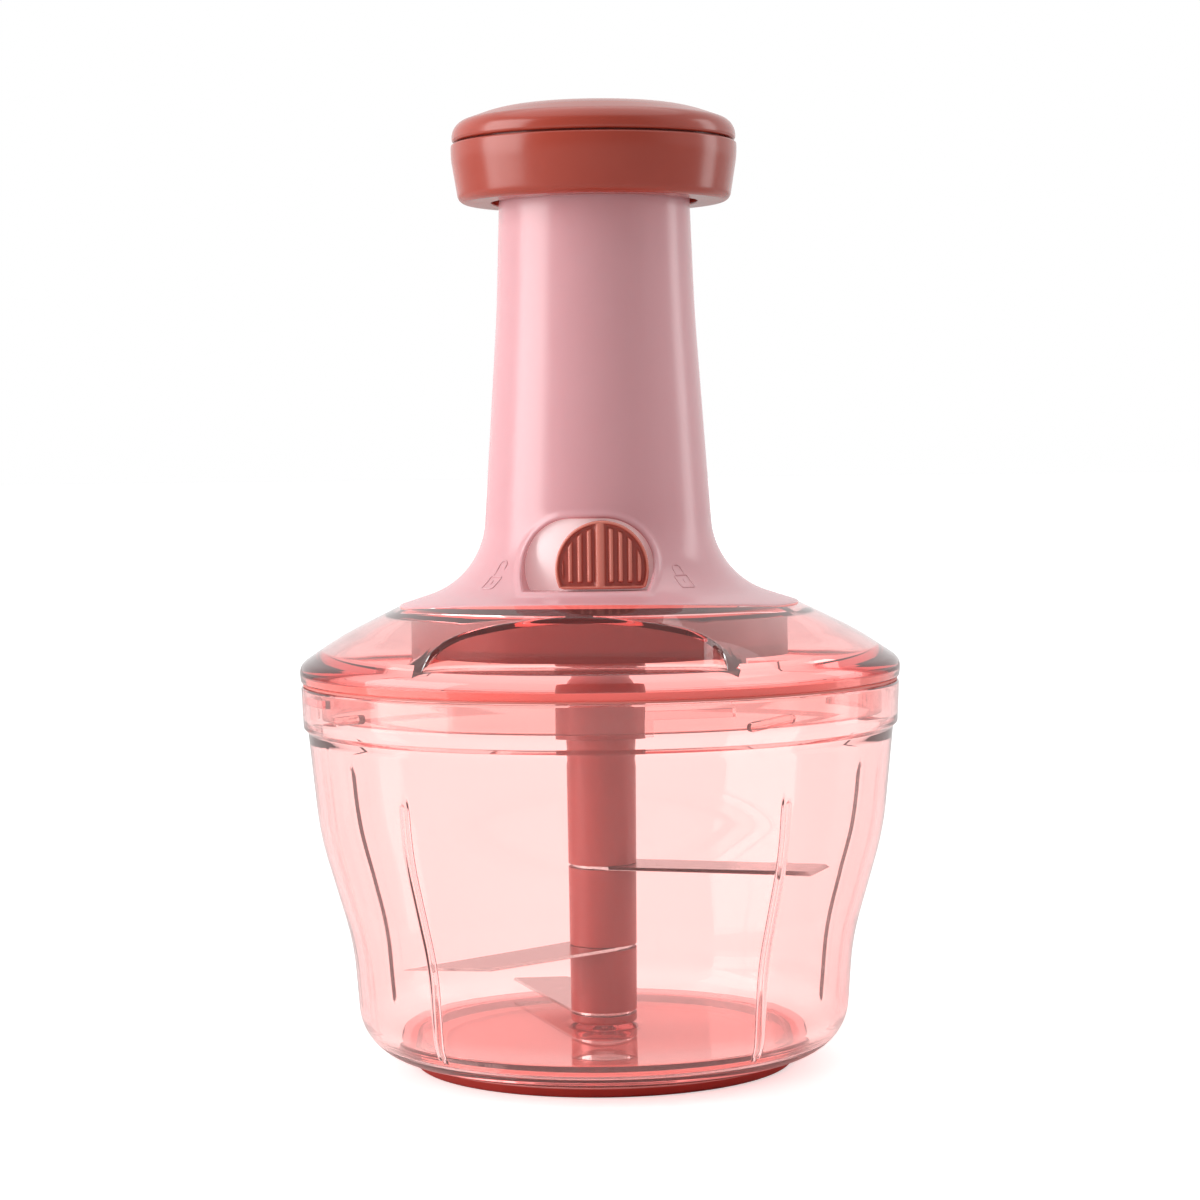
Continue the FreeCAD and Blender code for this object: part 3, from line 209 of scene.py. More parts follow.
# patch, grain and grainHeight in mm; under: how much light goes below the skin; glow: (tone, strength) of an emission,
# painted light
# zone: another tone outside a radius or above a height: (kind, from mm, to mm, tone)
def solidPlastic(name, dark, pale, patch, grain, grainHeight, roughness, ior, under=0.0, zone=None, glow=None):
    made, tree = freshMaterial(name)
    where = addNode(tree, "TexCoord")
    cloud = addNoise(tree, where.outputs["Object"], patch, 3.0, 0.55)
    tint = addNode(tree, "ValToRGB", None, {"Fac": cloud.outputs["Fac"]})
    tint.color_ramp.elements[0].position, tint.color_ramp.elements[1].position = 0.15, 0.85
    tint.color_ramp.elements[0].color, tint.color_ramp.elements[1].color = colour(dark), colour(pale)
    shine = addRange(tree, cloud.outputs["Fac"], (0.1, 0.9), roughness)
    fine = addNoise(tree, where.outputs["Object"], grain, 2.0)
    relief = addNode(tree, "Bump", {"Strength": 0.35, "Distance": grainHeight * 0.001},
                     {"Height": fine.outputs["Fac"]})
    shade = tint.outputs["Color"]
    if zone:
        flat = (1.0, 1.0, 0.0) if zone[0] == "radius" else (0.0, 0.0, 1.0)
        along = addNode(tree, "VectorMath", {"operation": "MULTIPLY", 1: flat}, {0: where.outputs["Object"]})
        size = addNode(tree, "VectorMath", {"operation": "LENGTH"}, {0: along.outputs[0]})
        over = addRange(tree, size.outputs["Value"], (zone[1] * 0.001, zone[2] * 0.001), (0.0, 1.0))
        shade = addNode(tree, "Mix", {"data_type": "RGBA", 7: colour(zone[3])},
                        {0: over.outputs[0], 6: shade}).outputs[2]
    settings = {"IOR": ior, "Specular IOR Level": 0.5}
    if glow:
        settings.update({"Emission Color": colour(glow[0]), "Emission Strength": glow[1]})
    if under:
        settings.update({"Subsurface Weight": under, "Subsurface Radius": (0.004, 0.0015, 0.0015),
                         "Subsurface Scale": 1.0})
    face = addNode(tree, "BsdfPrincipled", settings,
                   {"Base Color": shade, "Roughness": shine.outputs[0], "Normal": relief.outputs[0]})
    addNode(tree, "OutputMaterial", None, {"Surface": face.outputs[0]})
    return made


# tones: one for each kind of wall; ripple and rippleHeight in mm; low: (from mm, to mm, tone of the lowest part); the
# glow tone and strength: an even glow of painted light
def clearPlastic(name, tones, absorb, density, ripple, rippleHeight, roughness, ior, paintedGlowTone, paintedGlowStrength, low):
    made, tree = freshMaterial(name)
    where = addNode(tree, "TexCoord")
    slow = addNoise(tree, where.outputs["Object"], ripple, 1.0)
    wave = addNode(tree, "Bump", {"Strength": 1.0, "Distance": rippleHeight * 0.001}, {"Height": slow.outputs["Fac"]})
    polish = addRange(tree, slow.outputs["Fac"], (0.3, 0.7), roughness)
    wall = addNode(tree, "Attribute", {"attribute_type": "GEOMETRY", "attribute_name": "wallKind"})
    tone = addNode(tree, "ValToRGB", None, {"Fac": wall.outputs["Fac"]})
    tone.color_ramp.interpolation = "CONSTANT"
    while len(tone.color_ramp.elements) < len(tones):
        tone.color_ramp.elements.new(0.5)
    for k, code in enumerate(tones):
        tone.color_ramp.elements[k].position, tone.color_ramp.elements[k].color = max(0.0, k / 4 - 0.1), colour(code)
    parts = addNode(tree, "SeparateXYZ", None, {"Vector": where.outputs["Object"]})
    above = addRange(tree, parts.outputs["Z"], (low[0] * 0.001, low[1] * 0.001), (0.0, 1.0), "SMOOTHSTEP")
    shade = addNode(tree, "Mix", {"data_type": "RGBA", 6: colour(low[2])},
                    {0: above.outputs[0], 7: tone.outputs["Color"]}).outputs[2]
    settings = {"IOR": ior, "Transmission Weight": 1.0}
    # the faint emission is painted light: the clear walls glow a little of themselves
    settings.update({"Emission Color": colour(paintedGlowTone), "Emission Strength": paintedGlowStrength})
    face = addNode(tree, "BsdfPrincipled", settings,
                   {"Base Color": shade, "Roughness": polish.outputs[0], "Normal": wave.outputs[0]})
    clear = addNode(tree, "BsdfTransparent", None, {"Color": shade})
    path = addNode(tree, "LightPath")
    both = addNode(tree, "MixShader", None, {0: path.outputs["Is Shadow Ray"], 1: face.outputs[0], 2: clear.outputs[0]})
    depth = addNode(tree, "VolumeAbsorption", {"Color": colour(absorb), "Density": density})
    addNode(tree, "OutputMaterial", None, {"Surface": both.outputs[0], "Volume": depth.outputs[0]})
    return made


def plainSteel(name, dark, pale, streak, stretch, roughness):      # streak in mm
    made, tree = freshMaterial(name)
    where = addNode(tree, "TexCoord")
    along = addNode(tree, "Mapping", {"Scale": stretch}, {"Vector": where.outputs["Object"]})
    line = addNoise(tree, along.outputs[0], streak, 3.0)
    tint = addNode(tree, "ValToRGB", None, {"Fac": line.outputs["Fac"]})
    tint.color_ramp.elements[0].position, tint.color_ramp.elements[1].position = 0.35, 0.65
    tint.color_ramp.elements[0].color, tint.color_ramp.elements[1].color = colour(dark), colour(pale)
    shine = addRange(tree, line.outputs["Fac"], (0.3, 0.7), roughness)
    relief = addNode(tree, "Bump", {"Strength": 0.25, "Distance": 0.00002}, {"Height": line.outputs["Fac"]})
    face = addNode(tree, "BsdfPrincipled", {"Metallic": 1.0},
                   {"Base Color": tint.outputs["Color"], "Roughness": shine.outputs[0], "Normal": relief.outputs[0]})
    addNode(tree, "OutputMaterial", None, {"Surface": face.outputs[0]})
    return made


finish = {
    # SAN, injection moulded and clear: sharp glints, thin walls pale, edges and thick spots deeper
    # tones: open walls, cut edges, the lid's skirt; the bowl's lowest part has the palest; the faint pink emission is
    # painted light, a glow that lifts the dark spots inside the walls
    "clear_pink": clearPlastic(
        "sanMouldedPink", ["#FFF0EE", "#FFDDD9", "#F4DEDB"], "#F8342C", 76.0, 26.0, 0.03, (0.0, 0.03), 1.42,
        "#FFD6D2", 0.018, (9.5, 18.0, "#FFF6F4")),
    # ABS, moulded in a polished tool: soft broad gloss, almost even colour
    "pale_pink_plastic": solidPlastic(
        "absMouldedPink", "#DDA1A7", "#E4A8AE", 45.0, 0.8, 0.004, (0.2, 0.27), 1.54, under=0.15),
    # polypropylene, moulded in a spark-eroded tool: satin, its grain is 0.1 mm and drawn at 0.5 mm to show
    "terracotta_plastic": solidPlastic(
        "polypropyleneSatinTerracotta", "#A43B2B", "#B24635", 30.0, 0.5, 0.006, (0.17, 0.25), 1.5),
    # the same polypropylene on the thumb button: the crowns of its ribs are painted paler, a painted highlight
    "terracotta_plastic_edge": solidPlastic(
        "polypropyleneTerracottaPaintedHighlight", "#A5463B", "#AE4D41", 30.0, 0.5, 0.008, (0.22, 0.3), 1.5,
        zone=("radius", 33.1, 33.9, "#DE8272")),
    # polypropylene of the parts inside, moulded smooth: a darker copy, painted shade for the parts seen through the
    # clear plastic
    "terracotta_plastic_deep": solidPlastic(
        "polypropyleneTerracottaPaintedShade", "#903B35", "#9A423B", 30.0, 0.5, 0.004, (0.3, 0.4), 1.5),
    # the same inside the lid, where little light reaches: darkest at its foot
    "terracotta_plastic_dark": solidPlastic(
        "polypropyleneTerracottaCase", "#651A14", "#6F1F18", 30.0, 0.5, 0.004, (0.35, 0.45), 1.5,
        zone=("height", 108.4, 109.0, "#7E2A24")),
    # ABS on the underside of the foot: a warm glow of painted light, standing for light through the clear collar
    "pale_pink_plastic_deep": solidPlastic(
        "absPinkUndersidePaintedGlow", "#D9938F", "#E09C98", 45.0, 0.8, 0.004, (0.3, 0.4), 1.54, glow=("#CD6F69", 0.55)),
    # ABS inside the lock window: paler and with a faint glow, painted light on the window's floor
    "pale_pink_plastic_edge": solidPlastic(
        "absPinkWindowPaintedLight", "#FBE2E3", "#FCE8E9", 45.0, 0.8, 0.004, (0.2, 0.27), 1.54, glow=("#FFD8D8", 0.2)),
    # silicone, compression moulded: matt, soft at its edges; its top, seen through the clear floor, is painted paler:
    # painted light
    "deep_coral_silicone_foot": solidPlastic(
        "siliconeMouldedCoralFoot", "#962D24", "#A2372E", 20.0, 0.7, 0.02, (0.5, 0.62), 1.41, under=0.1,
        zone=("height", 2.3, 3.0, "#FCDDD8")),
    # silicone of the seals, moulded smooth: soft coral
    "deep_coral_silicone": solidPlastic(
        "siliconeMouldedSeal", "#D47B73", "#DC877F", 20.0, 0.7, 0.01, (0.4, 0.5), 1.41, under=0.05),
    # acetal, moulded without colour: waxy off-white
    "natural_plastic": solidPlastic(
        "acetalMouldedNatural", "#E6E1D6", "#EFEBE2", 25.0, 0.8, 0.01, (0.32, 0.4), 1.48, under=0.1),
    # 1.4301 stainless, cold drawn: fine lines along the length
    "stainless_steel": plainSteel("stainlessDrawn", "#B9B8B6", "#D0CFCD", 0.6, (1.0, 1.0, 0.1), (0.2, 0.32)),
    # 1.4028 stainless strip, ground: fine lines across the blade
    "blade_steel": plainSteel("stainlessGroundBlade", "#C4C3C2", "#DEDDDC", 0.4, (0.15, 1.0, 1.0), (0.16, 0.26)),
}

insideParts = ("drive_hub", "drive_spindle", "column_head", "column_middle", "column_lower", "column_foot")


def dress(node):
    part = frame["nodes"][node]
    wanted = next(s["material_slot"] for s in frame["record"]["subparts"] if s["node"] == node)
    # parts inside the bowl and lid take darker copies of their finish: painted shade
    if node in insideParts:
        wanted += "_deep"
    if node in ("mechanism_case", "mechanism_cover"):
        wanted += "_dark"
    # the foot takes the finish whose top is painted paler
    if node == "non_slip_foot":
        wanted += "_foot"
    part.data.materials.clear()
    part.data.materials.append(finish[wanted])
    for face in part.data.polygons:
        face.use_smooth = True
    part.data.set_sharp_from_angle(angle=math.radians(32))


for nodeName in frame["nodes"]:
    dress(nodeName)
print("stage 3: finishes on the carried solids")


# shapes are made in millimetres; a line is a list of (r, z) points
def roundedLine(corners, gap=1.6, turnStep=8.0):      # (r, z) or (r, z, radius) corners to close points
    knots = []
    for i, corner in enumerate(corners):
        here = Vector(corner[:2])
        if len(corner) < 3 or i in (0, len(corners) - 1):
            knots.append(here)
            continue
        back = (Vector(corners[i - 1][:2]) - here).normalized()
        on = (Vector(corners[i + 1][:2]) - here).normalized()
        half = back.angle(on) / 2
        middle = here + (back + on).normalized() * (corner[2] / math.sin(half))
        start, end = here + back * (corner[2] / math.tan(half)), here + on * (corner[2] / math.tan(half))
        turn = math.pi - 2 * half
        steps = max(2, math.ceil(math.degrees(turn) / turnStep), math.ceil(turn * corner[2] / gap))
        first = start - middle
        side = 1 if first.x * (end - middle).y - first.y * (end - middle).x > 0 else -1
        for k in range(steps + 1):
            c, s = math.cos(side * turn * k / steps), math.sin(side * turn * k / steps)
            knots.append(middle + Vector((first.x * c - first.y * s, first.x * s + first.y * c)))
    points = [knots[0]]
    for p, q in zip(knots, knots[1:]):
        steps = max(1, math.ceil((q - p).length / gap))
        points += [p.lerp(q, k / steps) for k in range(1, steps + 1)]
    return [(p.x, p.y) for p in points]


def heightAt(line, r):          # z of a falling line at radius r
    for (r0, z0), (r1, z1) in zip(line, line[1:]):
        if min(r0, r1) <= r <= max(r0, r1) and r0 != r1:
            return z0 + (z1 - z0) * (r - r0) / (r1 - r0)
    return line[0][1] if abs(r - line[0][0]) < abs(r - line[-1][0]) else line[-1][1]


def radiusAt(line, z):
    for (r0, z0), (r1, z1) in zip(line, line[1:]):
        if min(z0, z1) <= z <= max(z0, z1) and z0 != z1:
            return r0 + (r1 - r0) * (z - z0) / (z1 - z0)
    return line[0][0] if abs(z - line[0][1]) < abs(z - line[-1][1]) else line[-1][0]


def spot(r, azimuth, z):        # azimuth 0 is the front, towards -Y
    a = math.radians(azimuth)
    return (r * math.sin(a), -r * math.cos(a), z)


def ease(x):
    x = min(1.0, max(0.0, x))
    return x * x * (3 - 2 * x)


def turnOutward(shape):         # each closed shell faces away from its own inside
    left = set(shape.faces)
    while left:
        shell, edge = [], [left.pop()]
        while edge:
            face = edge.pop()
            shell.append(face)
            for near in (f for e in face.edges for f in e.link_faces):
                if near in left:
                    left.remove(near)
                    edge.append(near)
        inside = 0.0
        for face in shell:
            first = face.verts[0].co
            for one, two in zip(face.verts[1:], face.verts[2:]):
                inside += first.dot(one.co.cross(two.co))
        if inside < 0:
            bmesh.ops.reverse_faces(shape, faces=shell)


# a sheet is rows of points; its rows, or the points of a row, may close to a loop, and skip leaves faces out
# edgeAt names a face's kind of wall: "", "_edge" or "_deep"
def addPiece(name, sheets, slotName, body, replaced=(), sharp=34.0, edgeAt=None):
    shape = bmesh.new()
    for sheet in sheets:
        rows = sheet["rows"]
        grid = [[shape.verts.new(Vector(p) * 0.001) for p in row] for row in rows]
        tall, wide = len(rows), len(rows[0])
        for i in range(tall if sheet.get("loopRows") else tall - 1):
            for j in range(wide if sheet.get("loopPoints") else wide - 1):
                if sheet.get("skip") and sheet["skip"](i, j):
                    continue
                k, m = (i + 1) % tall, (j + 1) % wide
                shape.faces.new((grid[i][j], grid[k][j], grid[k][m], grid[i][m]))
    bmesh.ops.remove_doubles(shape, verts=shape.verts, dist=2e-6)
    bmesh.ops.dissolve_degenerate(shape, edges=shape.edges, dist=1e-6)
    stray = [v for v in shape.verts if not v.link_faces]
    bmesh.ops.delete(shape, geom=stray, context="VERTS")
    bmesh.ops.recalc_face_normals(shape, faces=shape.faces)
    turnOutward(shape)
    mesh = bpy.data.meshes.new(name)
    shape.to_mesh(mesh)
    openEdges = sum(1 for e in shape.edges if len(e.link_faces) != 2)
    shape.free()
    for face in mesh.polygons:
        face.use_smooth = True
    mesh.set_sharp_from_angle(angle=math.radians(sharp))
    mesh.materials.append(finish[slotName])
    if edgeAt:
        kinds = ["", "_edge", "_deep"]
        tones = [kinds.index(edgeAt(*(c * 1000 for c in face.center), face.normal)) for face in mesh.polygons]
        if slotName + "_edge" in finish:
            for kind in kinds[1:]:
                mesh.materials.append(finish[slotName + kind])
            for face, tone in zip(mesh.polygons, tones):
                face.material_index = tone
        else:                   # one clear solid keeps one material, so light leaves it as it came in
            wallKind = mesh.attributes.new("wallKind", "FLOAT", "FACE")
            wallKind.data.foreach_set("value", [tone / 4 for tone in tones])
    piece = addObject(name, mesh)
    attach(piece, body)
    if replaced:
        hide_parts(*replaced)
    print("  made", name, len(mesh.polygons), "faces,", openEdges, "open edges")


def ring(line, count=160):      # one sheet turned from a closed line
    return {"rows": [[spot(r, 360.0 * k / count, z) for r, z in line] for k in range(count)],
            "loopRows": True, "loopPoints": True}


# bowl: outer line from the middle of the underside up, inner line from the rim down
bowl = {
    "outer": [(0, 3.22), (7.6, 3.22, 0.5), (8.2, 6.3, 0.6), (47.4, 6.3, 0.6), (48.0, 3.22, 0.4), (62.3, 3.22, 13),
              (64.5, 32, 70), (72.6, 60, 80), (75.3, 86.6, 0.6), (76.45, 87.8, 0.5), (76.9, 97.9, 0.4), (76.5, 98.3)],
    "lip": [(74.9, 98.3), (74.6, 98.0)],
    "step": [(74.6, 87.8), (73.1, 85.4)],
    "inner": [(70.4, 60, 77.8), (62.3, 32, 72.2), (60.1, 5.8, 7.4), (53.0, 5.8, 0.3), (52.2, 9.2, 0.8),
              (9.5, 9.2), (6.5, 9.5), (3.06, 9.5), (3.06, 5), (0, 5)],
    "wallFoot": 6.4, "wallTop": 76,
    "channels": [(-105.0, 12.0), (-35.0, 9.0), (42.8, 9.0), (110.6, 12.0), (183.9, 9.0)],      # azimuth and foot
    "channelTop": 73.4, "channelHalf": 1.0, "channelDeep": 0.55, "channelSide": 0.9,
    "ribHalf": 1.2, "ribHigh": 0.7, "ribFoot": 8, "ribRadius": 55,
    "ledgeFoot": 94.6, "ledgeTop": 96.6, "ledgeOut": 74.6, "ledgeIn": 72.8, "ledgeSpan": 17.0, "ledgeAt": 22.0,
    "stopFoot": 90.6, "stopFrom": 13.5, "stopTo": 15.0,
}


def bowlAzimuths():             # even all round, close at the channels and at the ends of the ledges and stops
    lines = [k * 2.5 for k in range(-72, 72)]
    for middle, foot in bowl["channels"]:
        lines += [middle + 0.13 * k for k in range(-11, 12)] + [middle + s * w for s in (-1, 1) for w in (1.75, 2.1)]
    for k in range(4):
        at, half = bowl["ledgeAt"] + 90 * k, bowl["ledgeSpan"] / 2
        for end in (at - half, at + half, 90 * k + bowl["stopFrom"], 90 * k + bowl["stopTo"]):
            lines += [end - 0.06, end + 0.06]
    lines = sorted((a + 180) % 360 - 180 for a in lines)
    kept = [lines[0]]
    for a in lines[1:]:
        if a - kept[-1] > 0.045:
            kept.append(a)
    return kept


def fromChannel(azimuth, r, z):     # mm to the nearest channel's middle line
    near, foot = min((abs((azimuth - c + 180) % 360 - 180), foot) for c, foot in bowl["channels"])
    half = bowl["channelHalf"]
    beyond = max(0.0, foot + half - z, z - bowl["channelTop"] + half)
    return math.hypot(r * math.radians(near), beyond)


def bowlEdge(x, y, z, normal):      # the step below the rim and the top edge
    r = math.hypot(x, y)
    return "_edge" if (86.8 < z < 88.3 and r > 75.2) or z > 97.6 else ""


def makeBowl():
    outer = list(dict.fromkeys(roundedLine(bowl["outer"], 1.5)))
    below = bowl["step"] + roundedLine(bowl["step"][-1:] + bowl["inner"], 1.6)[1:]
    underside = [p for p in outer if p[1] < bowl["wallFoot"]]
    wall = [p for p in outer if bowl["wallFoot"] <= p[1] <= bowl["wallTop"]]
    rim = [p for p in outer if p[1] > bowl["wallTop"]]
    # close rows where the channels begin and end
    closeRows = [z * 0.25 for z in range(26, 42)] + [70 + z * 0.25 for z in range(14)]
    wall = sorted(wall + [(radiusAt(outer[len(underside) - 1:], z), z) for z in closeRows], key=lambda p: p[1])
    ledgeTop, ledgeFoot, stopFoot, out = bowl["ledgeTop"], bowl["ledgeFoot"], bowl["stopFoot"], bowl["ledgeOut"]
    quarters = [90 * k for k in range(4)]
    rows = []
    for a in bowlAzimuths():
        row = [spot(r, a, z) for r, z in underside]
        for r, z in wall:
            cut = ease((bowl["channelHalf"] - fromChannel(a, r, z)) / bowl["channelSide"])
            row.append(spot(r - bowl["channelDeep"] * cut, a, z))
        row += [spot(r, a, z) for r, z in rim + bowl["lip"]]
        onLedge = any(abs((a - bowl["ledgeAt"] - q + 180) % 360 - 180) < bowl["ledgeSpan"] / 2 for q in quarters)
        onStop = any(bowl["stopFrom"] < (a - q) % 360 < bowl["stopTo"] for q in quarters)
        ledge, stop = bowl["ledgeIn"] if onLedge else out, bowl["ledgeIn"] if onStop else out
        row += [spot(r, a, z) for r, z in ((out, ledgeTop), (ledge, ledgeTop), (ledge, ledgeFoot),
                                           (stop, ledgeFoot), (stop, stopFoot), (out, stopFoot))]
        for r, z in below:
            rise = 0.0
            if bowl["ribFoot"] < z < bowl["wallTop"] and r > bowl["ribRadius"]:
                away = fromChannel(a, r, z)
                rise = bowl["ribHigh"] * math.cos(min(1.0, away / bowl["ribHalf"]) * math.pi / 2) ** 2
            row.append(spot(r - rise, a, z))
        rows.append(row)
    addPiece("bowlShell", [{"rows": rows, "loopRows": True, "loopPoints": True}], "clear_pink", "bowl", ["bowl"],
             edgeAt=bowlEdge)


makeBowl()

# lid: cone with two finger grips, collar round the neck's oval foot, brim, skirt and bayonet lugs
lid = {
    "cone": [(52, 118), (66.5, 110.9, 80), (77.3, 103.6, 3.5), (77.0, 99.4)],
    "coneInside": [(51, 116), (66.5, 108.4, 40), (70.4, 105.76)],
    "brim": [(77.0, 100.2), (77.0, 99.4, 0.45), (75.8, 99.4), (75.8, 101.4), (74.2, 101.4), (74.2, 99.4),
             (72.4, 99.4), (72.4, 91.0, 0.5), (70.4, 91.0, 0.5), (70.4, 103.3)],
    "bore": 34.2, "shelf": 118.0, "shelfUnder": 116.0, "shelfEdge": 52.0, "insideEdge": 51.0, "insideFoot": 105.76,
    "ovalRadius": 56.9, "ovalShift": 10.9, "collarSlope": 0.39,
    "gripHalf": 36.5, "gripBack": 53.0, "gripCorner": 11.0, "gripFloor": 105.5, "wall": 2.2,
    "gripRim": 74.5, "skirtIn": 70.4, "skirtOut": 72.4, "brimFoot": 100.3,
    "spread": 37.0, "softEdge": 0.9, "softFoot": 1.0, "softBelow": 2.6,
    "lugAt": 39.0, "lugSpan": 10.3, "lugLow": 90.9, "lugHigh": 93.95, "lugOut": 74.15, "lugTilt": 13.0,
    "lugRadius": 73.0, "lugRound": 0.35,
}


def ovalAt(azimuth):            # plan radius of the neck's foot
    a = math.radians(azimuth)
    k, big = lid["ovalShift"], lid["ovalRadius"]
    return min(lid["shelfEdge"], -k * abs(math.cos(a)) + math.sqrt(big ** 2 - (k * math.sin(a)) ** 2))


def gripLine(halfWidth, back, corner, rim):    # plan points from one tip to the other, evenly spaced
    tip = math.sqrt(rim ** 2 - halfWidth ** 2)
    corners = [(-halfWidth, -tip), (-halfWidth, -back, corner), (halfWidth, -back, corner), (halfWidth, -tip)]
    return roundedLine(corners, 0.25, 2.0)


def alongLine(points, share):   # share 0 to 1 of the whole length
    lengths = [0.0]
    for p, q in zip(points, points[1:]):
        lengths.append(lengths[-1] + math.dist(p, q))
    want = share * lengths[-1]
    for i in range(1, len(points)):
        if lengths[i] >= want - 1e-9:
            f = (want - lengths[i - 1]) / max(1e-9, lengths[i] - lengths[i - 1])
            return tuple(a + (b - a) * f for a, b in zip(points[i - 1], points[i]))
    return points[-1]


def bend(a, b, c, steps):       # soft corner from a to c, drawn towards b
    a, b, c = Vector(a), Vector(b), Vector(c)
    return [tuple(a * (1 - t) ** 2 + b * 2 * t * (1 - t) + c * t * t) for t in (k / steps for k in range(steps + 1))]


def lidLine(turn, outerGrip, cone):     # upper side from the bore to the grip's rim
    spread, shelf, shelfEdge, gripRim = lid["spread"], lid["shelf"], lid["shelfEdge"], lid["gripRim"]
    fold = (turn + 90) % 180 - 90
    flip = -1 if 90 <= (turn % 360) < 270 else 1
    place = lambda x, y, z: (flip * x, flip * y, z)
    share = (fold / spread + 1) / 2
    inGrip = abs(fold) <= spread + 1e-6
    tipOut = math.degrees(math.asin(lid["gripHalf"] / gripRim))
    tipIn = math.degrees(math.asin((lid["gripHalf"] + lid["wall"]) / lid["skirtIn"]))
    relax = lambda tip: math.copysign(tip + (abs(fold) - spread) * (90 - tip) / (90 - spread), fold)
    wideOut = tipOut * fold / spread if inGrip else relax(tipOut)
    wideIn = tipIn * fold / spread if inGrip else relax(tipIn)
    oval = ovalAt(fold)
    crest = shelf + (shelfEdge - oval) * lid["collarSlope"]
    row = [place(*spot(r, fold, shelf)) for r in (lid["bore"], 38.0, 42.0)]
    row += [place(*spot(oval, fold, shelf)), place(*spot(oval, fold, crest - min(0.2, (crest - shelf) / 2)))]
    for t in (0.04, 0.2, 0.4, 0.6, 0.8, 1.0):
        row.append(place(*spot(oval + (shelfEdge - oval) * t, fold, crest + (shelf - crest) * t)))
    shares = (0.12, 0.25, 0.38, 0.5, 0.62, 0.74, 0.86)
    start = spot(shelfEdge, fold, shelf)[:2]
    if inGrip:
        edge = alongLine(outerGrip, share)
        top = Vector((*edge, heightAt(cone, math.hypot(*edge))))
        foot = Vector((*edge, lid["gripFloor"]))
        tall = max(0.0, top.z - foot.z)
        goal = Vector(spot(gripRim, wideOut, lid["gripFloor"]))
        soft = min(1.0, tall / lid["softBelow"])
        lean = math.dist(start, edge)
        pull = min(lid["softEdge"] * soft, 0.45 * lean) / max(lean, 1e-6)
        path = lambda t: Vector((start[0] + (edge[0] - start[0]) * t, start[1] + (edge[1] - start[1]) * t))
        onCone = lambda t: (*path(t), heightAt(cone, path(t).length))
        high = top - Vector((0, 0, lid["softEdge"] * soft))
        low = foot + Vector((0, 0, lid["softFoot"] * soft))
        row += [place(*onCone(t * (1 - pull))) for t in shares]
        row += [place(*p) for p in bend(onCone(1 - pull), top, high, 5)]
        row += [place(*high.lerp(low, t)) for t in (0.33, 0.67)]
        across = goal - foot
        step = Vector((0, 0, 0))
        if across.length > 1e-6:
            step = across.normalized() * min(lid["softFoot"] * soft, across.length * 0.4)
        row += [place(*p) for p in bend(low, foot, foot + step, 4)]
        row += [place(*(foot + step).lerp(goal, t)) for t in (0.25, 0.5, 0.75, 1.0)]
    else:                       # plain cone: the grip's 17 points fall together at its rim
        for t in shares:
            r = shelfEdge + (gripRim - shelfEdge) * t
            row.append(place(*spot(r, fold + (wideOut - fold) * t, heightAt(cone, r))))
        row += [place(*spot(gripRim, wideOut, lid["gripFloor"]))] * 17
    return row, wideOut, wideIn, inGrip, share, fold, place


def lidEdge(x, y, z, normal):       # walls of the grips, collar edge and brim
    r = math.hypot(x, y)
    wall = abs(normal.z) < 0.5 and z > 103.2 and r < 74.4
    brim = (r > 71.5 and z > 98) or (98 < z < 102 and r > 73)
    if wall or brim:
        return "_edge"
    return "_deep" if z < 99.3 and r < 72.6 else ""


def bayonetLug(at):                 # oblong and a little tilted
    middle = (lid["lugLow"] + lid["lugHigh"]) / 2
    halfTall = (lid["lugHigh"] - lid["lugLow"]) / 2 - lid["lugRound"]
    halfWide = math.radians(lid["lugSpan"] / 2) * lid["lugRadius"]
    root, out = lid["skirtOut"] + 0.02, lid["lugOut"]
    shells = [[spot(root, at, middle)] * 40]
    for r, shrink in ((root, 1.0), (out - 0.5, 1.0), (out - 0.15, 0.93), (out, 0.8), (out, 0.4), (out, 0.0)):
        shell = []
        for n in range(40):
            w = 2 * math.pi * n / 40
            s = (halfWide - halfTall) * (1 if math.cos(w) > 0 else -1) + halfTall * math.cos(w)
            tall = halfTall * math.sin(w)
            s, tall = s * (shrink if shrink < 0.9 else 1 - (1 - shrink) * 0.2), tall * shrink
            tall += s * math.tan(math.radians(lid["lugTilt"])) * 0.5
            shell.append(spot(r, at + math.degrees(s / lid["lugRadius"]), middle + tall))
        shells.append(shell)
    return {"rows": shells, "loopPoints": True}


